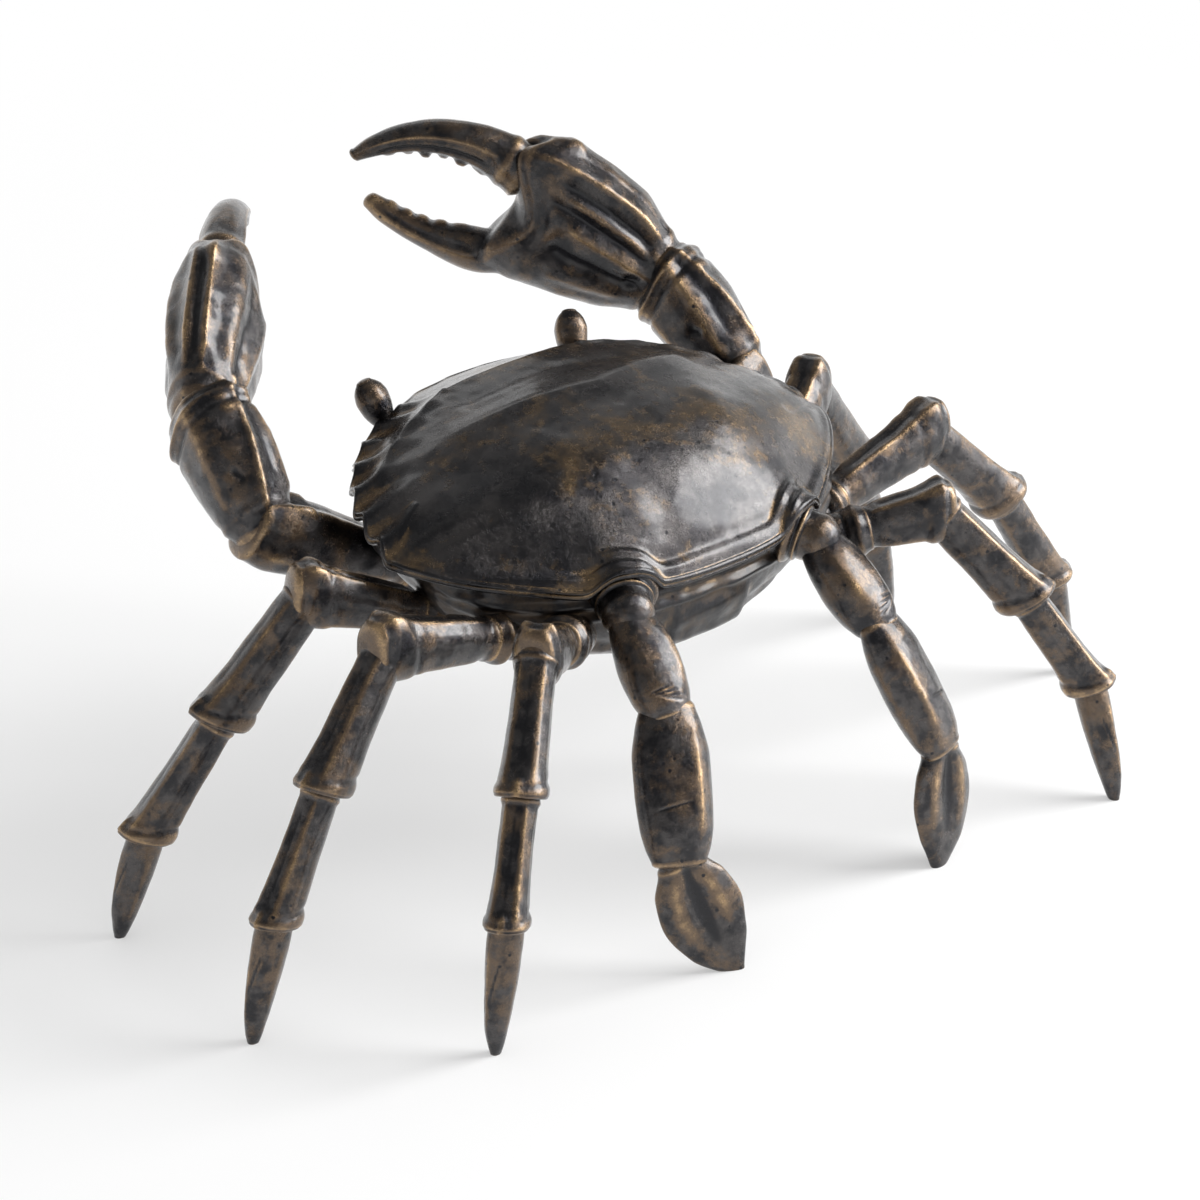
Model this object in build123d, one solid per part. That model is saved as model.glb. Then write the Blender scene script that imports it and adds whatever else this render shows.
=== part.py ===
"""Crab figurine: a standing crab in cast bronze, put together from separately cast pieces.

Frame while building: +X is the crab's own left, +Y its rear, +Z up, and z = 0 the surface that it stands on.
The body has its own frame, pitched to hold the face high: u to the left, v to the rear, w out of the back.
Every casting starts in a rounded head that is brazed into the flared collar of the casting before it.
Lengths are millimetres and angles are degrees. The origin is moved to the middle of the footprint at the end.
"""

import os
from math import asin, cos, pi, radians, sin, sqrt
from typing import Callable, NamedTuple

from build123d import *

os.makedirs("parts", exist_ok=True)

# Body shells
carapace_width = 150.0
carapace_front = 62.0
carapace_rear = 44.0
carapace_rise = 24.0
shell_wall = 3.0
rim_height = 95.0
rim_line = 13.0
belly_depth = 38.0
belly_inset = 7.0
tooth_reach = 3.6
braze_gap = 0.12
overrun = 6.0
skin_tolerance = 0.02

# Eyes
eye_width = 7.4
eye_length = 11.0
eye_stalk_length = 6.0
eye_root = 5.0

# Claws
shoulder_length = 15.0
shoulder_width = 17.0
arm_length = 45.0
arm_width = 18.0
arm_height = 19.5
wrist_length = 35.5
wrist_width = 21.5
wrist_height = 24.0
palm_length = 47.0
palm_width = 25.0
palm_height = 42.5
knuckle_rise = 9.5
fixed_finger_root = 12.0
fixed_finger_length = 35.0
fixed_finger_width = 13.0
fixed_finger_height = 17.0
fixed_finger_drop = 12.5
fixed_finger_arch = 3.5
finger_length = 48.0
finger_width = 11.0
finger_height = 13.5
finger_arch = 7.2
finger_tooth = 1.7
claw_head = 6.0

# Walking legs
hip_length = 12.0
hip_width = 13.0
hip_root = 8.0
front_thigh_length = 32.5
middle_thigh_length = 38.0
rear_thigh_length = 21.0
front_shin_length = 39.0
middle_shin_length = 38.0
rear_shin_length = 35.5
front_ankle_length = 36.5
middle_ankle_length = 34.5
rear_ankle_length = 32.0
thigh_width = 12.5
thigh_height = 17.0
shin_width = 12.5
shin_height = 14.5
ankle_width = 10.5
ankle_height = 12.0
toe_width = 8.4
toe_height = 9.6
leg_head = 4.0

# Paddle legs
paddle_ring_width = 19.0
paddle_ring_step = 2.2
paddle_ring_length = 2.4
paddle_root = 7.0
paddle_knob_width = 13.6
paddle_reach = 5.5
paddle_thigh_length = 27.0
paddle_thigh_width = 17.5
paddle_thigh_height = 14.0
paddle_shin_length = 36.4
paddle_shin_width = 20.0
paddle_shin_height = 12.5
blade_width = 22.0
blade_thickness = 6.0
blade_bow = 1.2
paddle_head = 4.0

# Angles and counts
body_pitch = 11.6
claw_roll = 3.0
finger_turn = -23.5
finger_lean = 2.5
fixed_finger_turn = -8.0
paddle_roll = 10.0
tooth_count = 7
finger_tooth_count = 5
skin_rows = 18
skin_columns = 16
bowl_points = 16


class Station(NamedTuple):
    """One cross-section of a casting as shares: place along, rise off the axis, width and height."""

    along: float
    rise: float
    wide: float
    high: float


class Run(NamedTuple):
    """The axis of one casting: where it starts, its unit direction, its unit up direction and its length."""

    start: Vector
    direction: Vector
    up: Vector
    length: float

    @property
    def end(self):
        return self.start + self.direction * self.length


class Piece(NamedTuple):
    """A casting's name and the function that makes its solid, swollen all round by a given amount."""

    name: str
    make: Callable


class Leg(NamedTuple):
    """A walking leg: its hip's place in shares of the body, its lengths, and each heading and pitch."""

    name: str
    place_shares: tuple
    lengths: tuple
    left_angles: tuple
    right_angles: tuple


# Cross-section outlines, as radius shares at equal angles from the casting's side, over its top and round
OVAL_SHARES = (1.0, 1.0, 1.0, 1.0, 1.0, 1.0, 1.0, 1.0)
KEELED_SHARES = (1.0, 0.94, 1.05, 0.94, 1.0, 0.97, 0.98, 0.97)
CLAW_SHARES = (0.96, 1.06, 1.0, 1.06, 0.96, 1.02, 0.97, 1.02)

# Stations from head to collar. A head share sizes the two sections behind the first station
HEAD_SHARES = ((1.0, 0.42), (0.62, 0.82))
LONG_GAP_SHARE = 0.2
HIP_SHARES = (
    Station(0.0, 0.0, 0.88, 0.88),
    Station(0.5, 0.0, 0.96, 0.96),
    Station(0.95, 0.0, 1.0, 1.0),
    Station(1.15, 0.0, 0.84, 0.84),
)
THIGH_SHARES = (
    Station(0.0, 0.0, 0.78, 0.58),
    Station(0.3, 0.0, 0.9, 0.7),
    Station(0.65, 0.0, 0.95, 0.78),
    Station(0.92, 0.0, 1.03, 0.97),
    Station(1.06, 0.0, 1.0, 1.0),
    Station(1.15, 0.0, 0.8, 0.84),
)
SHIN_SHARES = (
    Station(0.0, 0.0, 0.86, 0.82),
    Station(0.3, 0.0, 0.86, 0.84),
    Station(0.65, 0.0, 0.9, 0.87),
    Station(0.9, 0.0, 1.04, 1.02),
    Station(1.0, 0.0, 1.1, 1.08),
    Station(1.05, 0.0, 1.0, 0.98),
)
ANKLE_SHARES = (
    Station(0.0, 0.0, 0.88, 0.86),
    Station(0.3, 0.0, 0.88, 0.86),
    Station(0.65, 0.0, 0.93, 0.92),
    Station(0.9, 0.0, 1.06, 1.05),
    Station(1.0, 0.0, 1.1, 1.1),
    Station(1.05, 0.0, 1.0, 1.0),
)
TOE_SHARES = (
    Station(0.0, 0.0, 0.94, 0.94),
    Station(0.25, 0.02, 1.0, 1.0),
    Station(0.55, 0.05, 0.86, 0.88),
    Station(0.82, 0.04, 0.62, 0.66),
    Station(1.0, 0.0, 0.4, 0.42),
    Station(1.12, -0.04, 0.3, 0.32),
)
SHOULDER_SHARES = (
    Station(0.0, 0.0, 0.8, 0.8),
    Station(0.5, 0.0, 0.96, 0.96),
    Station(0.95, 0.0, 1.0, 1.0),
    Station(1.15, 0.0, 0.82, 0.82),
)
ARM_SHARES = (
    Station(0.0, 0.0, 0.74, 0.6),
    Station(0.3, 0.0, 0.9, 0.74),
    Station(0.7, 0.0, 1.02, 0.98),
    Station(0.95, 0.0, 1.0, 1.0),
    Station(1.12, 0.0, 0.76, 0.76),
)
WRIST_SHARES = (
    Station(0.0, 0.0, 0.76, 0.62),
    Station(0.25, 0.03, 0.98, 0.86),
    Station(0.6, 0.05, 1.06, 1.0),
    Station(0.9, 0.02, 0.98, 0.92),
    Station(1.06, 0.0, 0.76, 0.72),
)
PALM_SHARES = (
    Station(0.0, 0.0, 0.66, 0.5),
    Station(0.3, 0.02, 0.9, 0.82),
    Station(0.6, 0.03, 1.0, 0.96),
    Station(0.85, 0.02, 0.94, 1.0),
    Station(1.0, 0.0, 0.8, 0.92),
    Station(1.06, 0.0, 0.66, 0.78),
)
FIXED_FINGER_SHARES = (
    Station(0.0, 0.1, 0.9, 0.7),
    Station(0.3, 0.0, 0.9, 0.72),
    Station(0.6, 0.0, 0.74, 0.48),
    Station(0.88, 0.0, 0.52, 0.36),
    Station(1.0, 0.0, 0.3, 0.2),
)
FINGER_SHARES = (
    Station(0.0, 0.0, 0.92, 0.92),
    Station(0.3, 0.0, 1.0, 0.86),
    Station(0.6, 0.0, 0.86, 0.66),
    Station(0.88, 0.0, 0.56, 0.42),
    Station(1.0, 0.0, 0.3, 0.22),
)
PADDLE_THIGH_SHARES = (
    Station(0.0, 0.0, 0.72, 0.64),
    Station(0.3, 0.0, 0.92, 0.88),
    Station(0.6, 0.0, 1.0, 1.0),
    Station(0.88, 0.0, 0.94, 0.88),
    Station(1.06, 0.0, 0.74, 0.68),
)
PADDLE_SHIN_SHARES = (
    Station(0.0, 0.0, 0.76, 0.6),
    Station(0.22, 0.0, 0.96, 0.9),
    Station(0.5, 0.0, 1.0, 1.0),
    Station(0.85, 0.0, 0.98, 0.92),
    Station(1.06, 0.0, 0.76, 0.64),
)
BLADE_SHARES = (
    Station(0.0, 0.0, 1.1, 0.46),
    Station(0.2, 0.0, 1.0, 0.84),
    Station(0.46, 0.0, 0.86, 1.0),
    Station(0.75, 0.0, 0.72, 0.76),
    Station(0.94, 0.0, 0.56, 0.36),
    Station(1.04, 0.0, 0.44, 0.18),
)
EYE_SHARES = (
    Station(0.0, 0.0, 0.66, 0.66),
    Station(0.3, 0.0, 0.68, 0.68),
    Station(0.42, 0.0, 0.88, 0.88),
    Station(0.62, 0.0, 1.0, 1.0),
    Station(0.8, 0.0, 0.86, 0.86),
    Station(0.94, 0.0, 0.54, 0.54),
    Station(1.0, 0.0, 0.22, 0.22),
)
# The belly bowl: depth, half width, front and rear lengths, each a share of the body's own
BOWL_SHARES = (
    (-0.34, 1.0, 1.0, 1.0),
    (0.0, 1.0, 1.0, 1.0),
    (0.28, 0.94, 0.98, 1.1),
    (0.54, 0.8, 0.92, 1.06),
    (0.8, 0.58, 0.76, 0.74),
    (1.0, 0.34, 0.44, 0.4),
)
BOWL_CORNER_SHARE = 0.9
# Places on the body: side, rear and down
SHOULDER_PLACE_SHARES = (0.38, -0.4, 0.86)
PADDLE_PLACE_SHARES = (0.405, 0.86, 0.06)
EYE_PLACE_SHARES = (0.43, -0.82, 0.08)
# The front margin from the middle out to the eye, as shares of the half width and of the front length
BROW_SHARES = (
    (0.0, 0.93),
    (0.085, 0.985),
    (0.15, 0.93),
    (0.24, 0.965),
    (0.31, 0.9),
    (0.385, 0.875),
    (0.42, 0.835),
)
# Where the first and last tooth of a claw's finger stand along it
FIRST_TOOTH_SHARE = 0.22
LAST_TOOTH_SHARE = 0.8
# How far the lateral edges and the rear margin draw in
FLANK_SHARE = 0.618
FLANK_POWER = 1.5
FLANK_POINT_SHARES = (0.35, 0.7, 1.0)
REAR_CORNER_SHARE = 0.84
REAR_POINT_SHARES = (0.6, 0.96)
DOME_POWER = 2.4
REAR_LIFT_SHARE = 0.02
# Where each tooth of the margin peaks between its valleys
TOOTH_PEAK_SHARE = 0.34

LEGS = (
    Leg(
        "front",
        (0.69, 0.12, 0.54),
        (front_thigh_length, front_shin_length, front_ankle_length),
        (-20.0, 19.0, -20.0, -50.5, -30.0, -57.5, -20.5, -73.0),
        (-26.5, 24.0, -14.5, -52.5, -25.5, -56.0, -19.0, -70.5),
    ),
    Leg(
        "middle",
        (0.65, 0.51, 0.42),
        (middle_thigh_length, middle_shin_length, middle_ankle_length),
        (5.0, 15.5, 10.0, -48.5, 9.0, -57.5, -3.5, -75.5),
        (-1.0, 14.5, 9.0, -44.5, 8.0, -58.0, 0.5, -75.5),
    ),
    Leg(
        "rear",
        (0.57, 0.79, 0.3),
        (rear_thigh_length, rear_shin_length, rear_ankle_length),
        (31.5, 16.5, 38.5, -47.0, 36.0, -56.5, 5.5, -82.5),
        (33.5, 10.5, 39.5, -47.0, 38.5, -56.0, 86.0, -71.5),
    ),
)
PADDLE_HIP_ANGLES = (60.0, -15.0)
PADDLE_ANGLES = {
    "left": (79.0, -46.5, 57.5, -62.0, 138.5, -65.5, 18.0),
    "right": (75.5, -46.0, 60.5, -61.0, 131.5, -77.5, 44.0),
}
CLAW_ANGLES = {
    "left": (-12.5, 24.5, -13.0, 24.5, -94.0, 42.5, -136.5, 17.5),
    "right": (-8.5, 21.5, -9.0, 21.5, -105.5, 43.0, -135.5, 27.5),
}
EYE_ANGLES = (-60.0, 62.0)


def toward(heading, pitch):
    """The unit vector at a heading from +X towards +Y and a pitch above the floor."""
    h = radians(heading)
    p = radians(pitch)
    return Vector(cos(h) * cos(p), sin(h) * cos(p), sin(p))


def body_point(u, v, w):
    """A point of the pitched body frame in the building frame."""
    b = radians(body_pitch)
    return Vector(u, -rim_line + v * cos(b) + w * sin(b), rim_height - v * sin(b) + w * cos(b))


def body_axis():
    """The direction out of the crab's back."""
    b = radians(body_pitch)
    return Vector(0, sin(b), cos(b))


def place(shares):
    """A point on the body from shares of its half width, its front or rear length and its depth."""
    side, back, down = shares
    length = carapace_rear if back > 0 else carapace_front
    return body_point(side * carapace_width / 2, back * length, -down * belly_depth)


def line(start, heading, pitch, length, roll=0):
    """A casting's axis, with its up direction as near straight up as it goes and then rolled about it."""
    direction = toward(heading, pitch)
    up = (Vector(0, 0, 1) - direction * direction.Z).normalized()
    side = up.cross(direction)
    r = radians(roll)
    return Run(start, direction, up * cos(r) + side * sin(r), length)


def section(centre, direction, up, width, height, outline):
    """A closed smooth wire square to a direction, from an outline of radius shares."""
    side = up.cross(direction).normalized()
    points = []
    for i, share in enumerate(outline):
        a = 2 * pi * i / len(outline)
        points.append(centre + side * (cos(a) * share * width / 2) + up * (sin(a) * share * height / 2))
    return Wire([Edge.make_spline(points, periodic=True)])


def between(low, high, before, after, field):
    """The value halfway between two stations on a curve that never overshoots them."""

    def slope(a, b):
        return (b[field] - a[field]) / (b.along - a.along)

    inner = slope(low, high)
    slopes = []
    for a, b in ((before, low), (high, after)):
        outer = slope(a, b) if b.along > a.along else inner
        slopes.append(0 if inner * outer <= 0 else 2 * inner * outer / (inner + outer))
    gap = high.along - low.along
    return (low[field] + high[field]) / 2 + gap * (slopes[0] - slopes[1]) / 8


def filled(stations):
    """The stations with one more in the middle of each long gap, which keeps the loft through them fair."""
    found = []
    for i, (low, high) in enumerate(zip(stations, stations[1:])):
        found.append(low)
        if high.along - low.along > LONG_GAP_SHARE:
            before = stations[max(i - 1, 0)]
            after = stations[min(i + 2, len(stations) - 1)]
            middle = [between(low, high, before, after, field) for field in (1, 2, 3)]
            found.append(Station((low.along + high.along) / 2, *middle))
    found.append(stations[-1])
    return found


def casting(axis, width, height, stations, head, outline=OVAL_SHARES, arch=0, grow=0):
    """A casting along an axis: a rounded head behind its start, then its stations. An arch bows it upwards,
    and grow swells it all round to cut the socket that it is brazed into."""
    wires = []
    first = stations[0]
    for back, share in HEAD_SHARES if head else ():
        wires.append(
            section(
                axis.start - axis.direction * (back * head + grow),
                axis.direction,
                axis.up,
                width * first.wide * share + 2 * grow,
                height * first.high * share + 2 * grow,
                outline,
            )
        )
    for s in filled(stations):
        bow = 4 * arch * s.along * (1 - s.along)
        slope = 4 * arch * (1 - 2 * s.along) / axis.length
        tangent = (axis.direction + axis.up * slope).normalized()
        normal = (axis.up - axis.direction * slope).normalized()
        centre = axis.start + axis.direction * (s.along * axis.length) + axis.up * (bow + s.rise * height)
        wires.append(
            section(centre, tangent, normal, width * s.wide + 2 * grow, height * s.high + 2 * grow, outline)
        )
    return Solid.make_loft(wires)


def above_floor(solid):
    """The solid with whatever reaches below the standing surface ground off flat."""
    box = solid.bounding_box()
    depth = overrun - min(box.min.Z, 0)
    floor = Box(
        box.size.X + 2 * overrun,
        box.size.Y + 2 * overrun,
        depth,
        align=(Align.CENTER, Align.CENTER, Align.MAX),
    )
    return solid - floor.moved(Location((box.center().X, box.center().Y, 0)))


def to_floor(start, heading, pitch, roll=0):
    """An axis that runs down from a joint until it meets the standing surface."""
    return line(start, heading, pitch, start.Z / -sin(radians(pitch)), roll)


def flank(v):
    """Half the carapace's width at a distance behind its widest line."""
    return carapace_width / 2 * (1 - FLANK_SHARE * (v / carapace_rear) ** FLANK_POWER)


def dome(u, v):
    """Height of the carapace's outer surface over its rim plane."""
    half = carapace_width / 2
    if v < 0:
        reach = sqrt((u / half) ** 2 + (v / carapace_front) ** 2)
        return carapace_rise * (1 - reach**DOME_POWER)
    across = 1 - (abs(u) / flank(min(v, carapace_rear))) ** DOME_POWER
    along = 1 - (v / carapace_rear) ** DOME_POWER
    if across < 0 and along < 0:
        along = 0
    return carapace_rise * across * max(along, REAR_LIFT_SHARE)


def outer_skin(drop=0):
    """The carapace's outer surface as one smooth face, lowered by a drop for the surfaces that follow it."""
    half = carapace_width / 2 + overrun
    front = carapace_front + overrun
    rear = carapace_rear + overrun
    rows = []
    for i in range(skin_rows + 1):
        u = -half + 2 * half * i / skin_rows
        row = []
        for j in range(skin_columns + 1):
            v = -front + (front + rear) * j / skin_columns
            row.append(body_point(u, v, dome(u, v) - drop))
        rows.append(row)
    return Face.make_surface_from_array_of_points(rows, tol=skin_tolerance, min_deg=3, max_deg=5)


def margin_half():
    """The left half of the carapace's outline in (u, v), as runs of points: toothed front, flank and rear."""
    half = carapace_width / 2
    toothed = [(side * half, -out * carapace_front) for side, out in BROW_SHARES]
    start = asin(BROW_SHARES[-1][0])
    for i in range(tooth_count):
        for part, scale in ((TOOTH_PEAK_SHARE, 1.0), (1.0, 1 - tooth_reach / half)):
            a = start + (pi / 2 - start) * (i + part) / tooth_count
            if i == tooth_count - 1 and part == 1.0:
                scale = 1.0
            toothed.append((half * sin(a) * scale, -carapace_front * cos(a) * scale))
    corner = REAR_CORNER_SHARE * carapace_rear
    flank_run = [toothed[-1]]
    for share in FLANK_POINT_SHARES:
        flank_run.append((flank(corner * share), corner * share))
    side, back = REAR_POINT_SHARES
    rear_run = [flank_run[-1], (flank(corner) * side, carapace_rear * back), (0, carapace_rear)]
    return toothed, flank_run, rear_run


def outline_prism():
    """The carapace's outline run right through the dome, square to the rim plane."""
    toothed, flank_run, rear_run = margin_half()
    low = -shell_wall - overrun
    edges = []
    for side in (1, -1):
        corners = [body_point(side * u, v, low) for u, v in toothed]
        for a, b in zip(corners, corners[1:]):
            edges.append(Edge.make_line(a, b))
        edges.append(Edge.make_spline([body_point(side * u, v, low) for u, v in flank_run]))
    mirrored = [(-u, v) for u, v in reversed(rear_run)][1:]
    edges.append(Edge.make_spline([body_point(u, v, low) for u, v in rear_run + mirrored]))
    face = Face(Wire(edges))
    return Solid.extrude(face, body_axis() * (carapace_rise + shell_wall + 2 * overrun))


def paddle_hip_axis():
    """The axis of the left paddle leg's hip, which leaves the body under the rear margin."""
    return line(place(PADDLE_PLACE_SHARES), PADDLE_HIP_ANGLES[0], PADDLE_HIP_ANGLES[1], paddle_reach)


def carapace():
    """The domed back shell, of one wall thickness, with its toothed margin and an arch over each hip."""
    shell = Solid.extrude(outer_skin(), -body_axis() * shell_wall) & outline_prism()
    axis = paddle_hip_axis()
    arch = Cylinder(
        paddle_ring_width / 2 + braze_gap,
        paddle_root + carapace_rear,
        align=(Align.CENTER, Align.CENTER, Align.MIN),
    )
    notch = on_axis(axis, arch, -paddle_root - braze_gap)
    return shell - notch - notch.mirror(Plane.YZ)


def bowl(inset):
    """The belly's bowl, drawn in all round by an inset."""
    wires = []
    for down, side, front, rear in BOWL_SHARES:
        half = side * (carapace_width / 2 - belly_inset) - inset
        fore = front * (carapace_front - belly_inset) - inset
        back = rear * (carapace_rear - belly_inset) - inset
        depth = down * belly_depth - (inset if down == 1.0 else 0)
        points = []
        for i in range(bowl_points):
            a = 2 * pi * i / bowl_points
            c = cos(a)
            s = sin(a)
            u = half * abs(s) ** BOWL_CORNER_SHARE * (1 if s > 0 else -1)
            v = (back if c > 0 else fore) * abs(c) ** BOWL_CORNER_SHARE * (1 if c > 0 else -1)
            points.append(body_point(u, v, -depth))
        wires.append(Wire([Edge.make_spline(points, periodic=True)]))
    return Solid.make_loft(wires)


def belly():
    """The lower body shell: a hollow bowl whose rim meets the carapace from below."""
    under = Solid.extrude(
        outer_skin(drop=shell_wall + braze_gap), -body_axis() * (carapace_rise + 2 * belly_depth)
    )
    return (bowl(0) - bowl(shell_wall)) & under


def turned(axis, length, lift, back, turn, lean):
    """An axis that leaves another near its end: lifted, set back, turned up its plane and leaned out."""
    side = axis.up.cross(axis.direction)
    a = radians(turn)
    b = radians(lean)
    forward = axis.direction * cos(a) + axis.up * sin(a)
    direction = forward * cos(b) + side * sin(b)
    up = (axis.up - direction * axis.up.dot(direction)).normalized()
    start = axis.end + axis.up * lift - axis.direction * back
    return Run(start, direction, up, length)


def on_axis(axis, shape, along):
    """A shape drawn about Z, moved onto an axis at a distance along it."""
    return Plane(axis.start + axis.direction * along, z_dir=axis.direction) * shape


def link(name, axis, width, height, stations, head, outline=OVAL_SHARES, arch=0, stands=False):
    """A casting as a named piece, ground flat underneath where the figurine stands on it."""

    def make(grow):
        solid = casting(axis, width, height, stations, head, outline, arch, grow)
        return above_floor(solid) if stands else solid

    return Piece(name, make)


def eye(grow):
    """An egg-shaped eye on its stalk."""
    axis = line(place(EYE_PLACE_SHARES), EYE_ANGLES[0], EYE_ANGLES[1], eye_stalk_length + eye_length)
    return casting(axis, eye_width, eye_width, EYE_SHARES, eye_root, grow=grow)


def teeth(axis, width, height, stations, arch, side):
    """A row of blunt teeth along the inner edge of a claw's finger, on the side up or down (1 or -1)."""
    balls = []
    for i in range(finger_tooth_count):
        share = FIRST_TOOTH_SHARE + (LAST_TOOTH_SHARE - FIRST_TOOTH_SHARE) * i / (finger_tooth_count - 1)
        high = 1.0
        for a, b in zip(stations, stations[1:]):
            if a.along <= share <= b.along:
                high = a.high + (b.high - a.high) * (share - a.along) / (b.along - a.along)
        bow = 4 * arch * share * (1 - share)
        centre = axis.start + axis.direction * (share * axis.length)
        centre = centre + axis.up * (bow + side * (height * high / 2 - finger_tooth / 4))
        balls.append(Pos(centre) * Sphere(finger_tooth))
    return balls


def claw(side):
    """A claw's castings from the body out. The palm carries the finger that can't move on a live crab.
    Swollen for a socket, the palm and the finger come without their teeth, which lie clear of it."""
    angles = CLAW_ANGLES[side]
    shoulder = line(place(SHOULDER_PLACE_SHARES), angles[0], angles[1], shoulder_length)
    arm = line(shoulder.end, angles[2], angles[3], arm_length)
    wrist = line(arm.end, angles[4], angles[5], wrist_length)
    palm = line(wrist.end, angles[6], angles[7], palm_length, claw_roll)
    finger = turned(palm, finger_length, knuckle_rise, 0, finger_turn, finger_lean)
    fixed_length = fixed_finger_length + fixed_finger_root
    fixed = turned(palm, fixed_length, -fixed_finger_drop, fixed_finger_root, fixed_finger_turn, finger_lean)

    def make_palm(grow):
        body = casting(palm, palm_width, palm_height, PALM_SHARES, claw_head, CLAW_SHARES, 0, grow)
        if grow:
            return body
        bend = -fixed_finger_arch
        jaw = casting(fixed, fixed_finger_width, fixed_finger_height, FIXED_FINGER_SHARES, 0, arch=bend)
        row = teeth(fixed, fixed_finger_width, fixed_finger_height, FIXED_FINGER_SHARES, bend, 1)
        return body + jaw + row

    def make_finger(grow):
        bend = finger_arch
        body = casting(finger, finger_width, finger_height, FINGER_SHARES, claw_head, arch=bend, grow=grow)
        if grow:
            return body
        return body + teeth(finger, finger_width, finger_height, FINGER_SHARES, bend, -1)

    return [
        link("shoulder", shoulder, shoulder_width, shoulder_width, SHOULDER_SHARES, claw_head),
        link("arm", arm, arm_width, arm_height, ARM_SHARES, claw_head, KEELED_SHARES),
        link("wrist", wrist, wrist_width, wrist_height, WRIST_SHARES, claw_head, KEELED_SHARES),
        Piece("palm", make_palm),
        Piece("finger", make_finger),
    ]


def walking_leg(leg, side):
    """A walking leg's castings from the body out."""
    angles = leg.left_angles if side == "left" else leg.right_angles
    thigh_length, shin_length, ankle_length = leg.lengths
    hip = line(place(leg.place_shares), angles[0], angles[1], hip_length)
    thigh = line(hip.end, angles[0], angles[1], thigh_length)
    shin = line(thigh.end, angles[2], angles[3], shin_length)
    ankle = line(shin.end, angles[4], angles[5], ankle_length)
    toe = to_floor(ankle.end, angles[6], angles[7])
    return [
        link("hip", hip, hip_width, hip_width, HIP_SHARES, hip_root),
        link("thigh", thigh, thigh_width, thigh_height, THIGH_SHARES, leg_head),
        link("shin", shin, shin_width, shin_height, SHIN_SHARES, leg_head),
        link("ankle", ankle, ankle_width, ankle_height, ANKLE_SHARES, leg_head),
        link("toe", toe, toe_width, toe_height, TOE_SHARES, leg_head, stands=True),
    ]


def paddle_leg(side):
    """A swimming leg's castings from the body out: a ringed, knobbed hip, two swollen links and a blade."""
    angles = PADDLE_ANGLES[side]
    hip = paddle_hip_axis()
    thigh = line(hip.end, angles[0], angles[1], paddle_thigh_length, paddle_roll)
    shin = line(thigh.end, angles[2], angles[3], paddle_shin_length, paddle_roll)
    blade = to_floor(shin.end, angles[4], angles[5], angles[6])
    bend = -blade_bow

    def make_hip(grow):
        low = (Align.CENTER, Align.CENTER, Align.MIN)
        barrel = Cylinder(paddle_ring_width / 2 + grow, paddle_root + 2 * grow, align=low)
        ring = Cylinder(paddle_ring_width / 2 - paddle_ring_step + grow, paddle_ring_length + grow, align=low)
        knob = Sphere(paddle_knob_width / 2 + grow)
        stack = on_axis(hip, barrel, -paddle_root - grow) + on_axis(hip, ring, 0)
        return stack + on_axis(hip, knob, paddle_reach)

    return [
        Piece("hip", make_hip),
        link("thigh", thigh, paddle_thigh_width, paddle_thigh_height, PADDLE_THIGH_SHARES, paddle_head),
        link("shin", shin, paddle_shin_width, paddle_shin_height, PADDLE_SHIN_SHARES, paddle_head),
        link("blade", blade, blade_thickness, blade_width, BLADE_SHARES, paddle_head, arch=bend, stands=True),
    ]


def limbs(side):
    """Every limb of one side as (limb name, chain of castings), all drawn on the crab's left."""
    found = [(side + "_claw", claw(side))]
    for leg in LEGS:
        found.append((f"{side}_{leg.name}_leg", walking_leg(leg, side)))
    found.append((side + "_paddle_leg", paddle_leg(side)))
    found.append((side, [Piece("eye", eye)]))
    return found


def build():
    """Every casting of the crab by its name, standing on z = 0."""
    pieces = {}
    sockets = []
    for side in ("left", "right"):
        for limb, chain in limbs(side):
            for i, piece in enumerate(chain):
                solid = piece.make(0)
                if i + 1 < len(chain):
                    solid = solid - chain[i + 1].make(braze_gap)
                if i < 2:
                    socket = piece.make(braze_gap)
                    if side == "right":
                        socket = socket.mirror(Plane.YZ)
                    sockets.append(socket)
                if side == "right":
                    solid = solid.mirror(Plane.YZ)
                pieces[f"{limb}_{piece.name}"] = solid
    pieces["carapace"] = carapace() - sockets
    pieces["underbody"] = belly() - sockets
    return pieces


def main():
    """Centre the figurine over its footprint and write one STEP file for each casting."""
    pieces = build()
    boxes = [solid.bounding_box() for solid in pieces.values()]
    middle_x = (min(b.min.X for b in boxes) + max(b.max.X for b in boxes)) / 2
    middle_y = (min(b.min.Y for b in boxes) + max(b.max.Y for b in boxes)) / 2
    for name, solid in pieces.items():
        export_step(solid.moved(Location((-middle_x, -middle_y, 0))), f"parts/{name}.step")
    print("origin moved by", -middle_x, -middle_y)


if __name__ == "__main__":
    main()
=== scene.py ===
"""Looks of the crab figurine: a standing crab in cast bronze under a dark patina, rubbed bright on its edges.

Lengths are millimetres and angles degrees until a mesh is made, which turns them into the frame's metres. +X is the
crab's own left, +Y its rear and +Z up. The limbs of the right side are drawn on the left and mirrored.
"""

import logging
from dataclasses import dataclass, replace
from enum import Enum
from itertools import product
from typing import Iterable, Optional, Protocol

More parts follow.
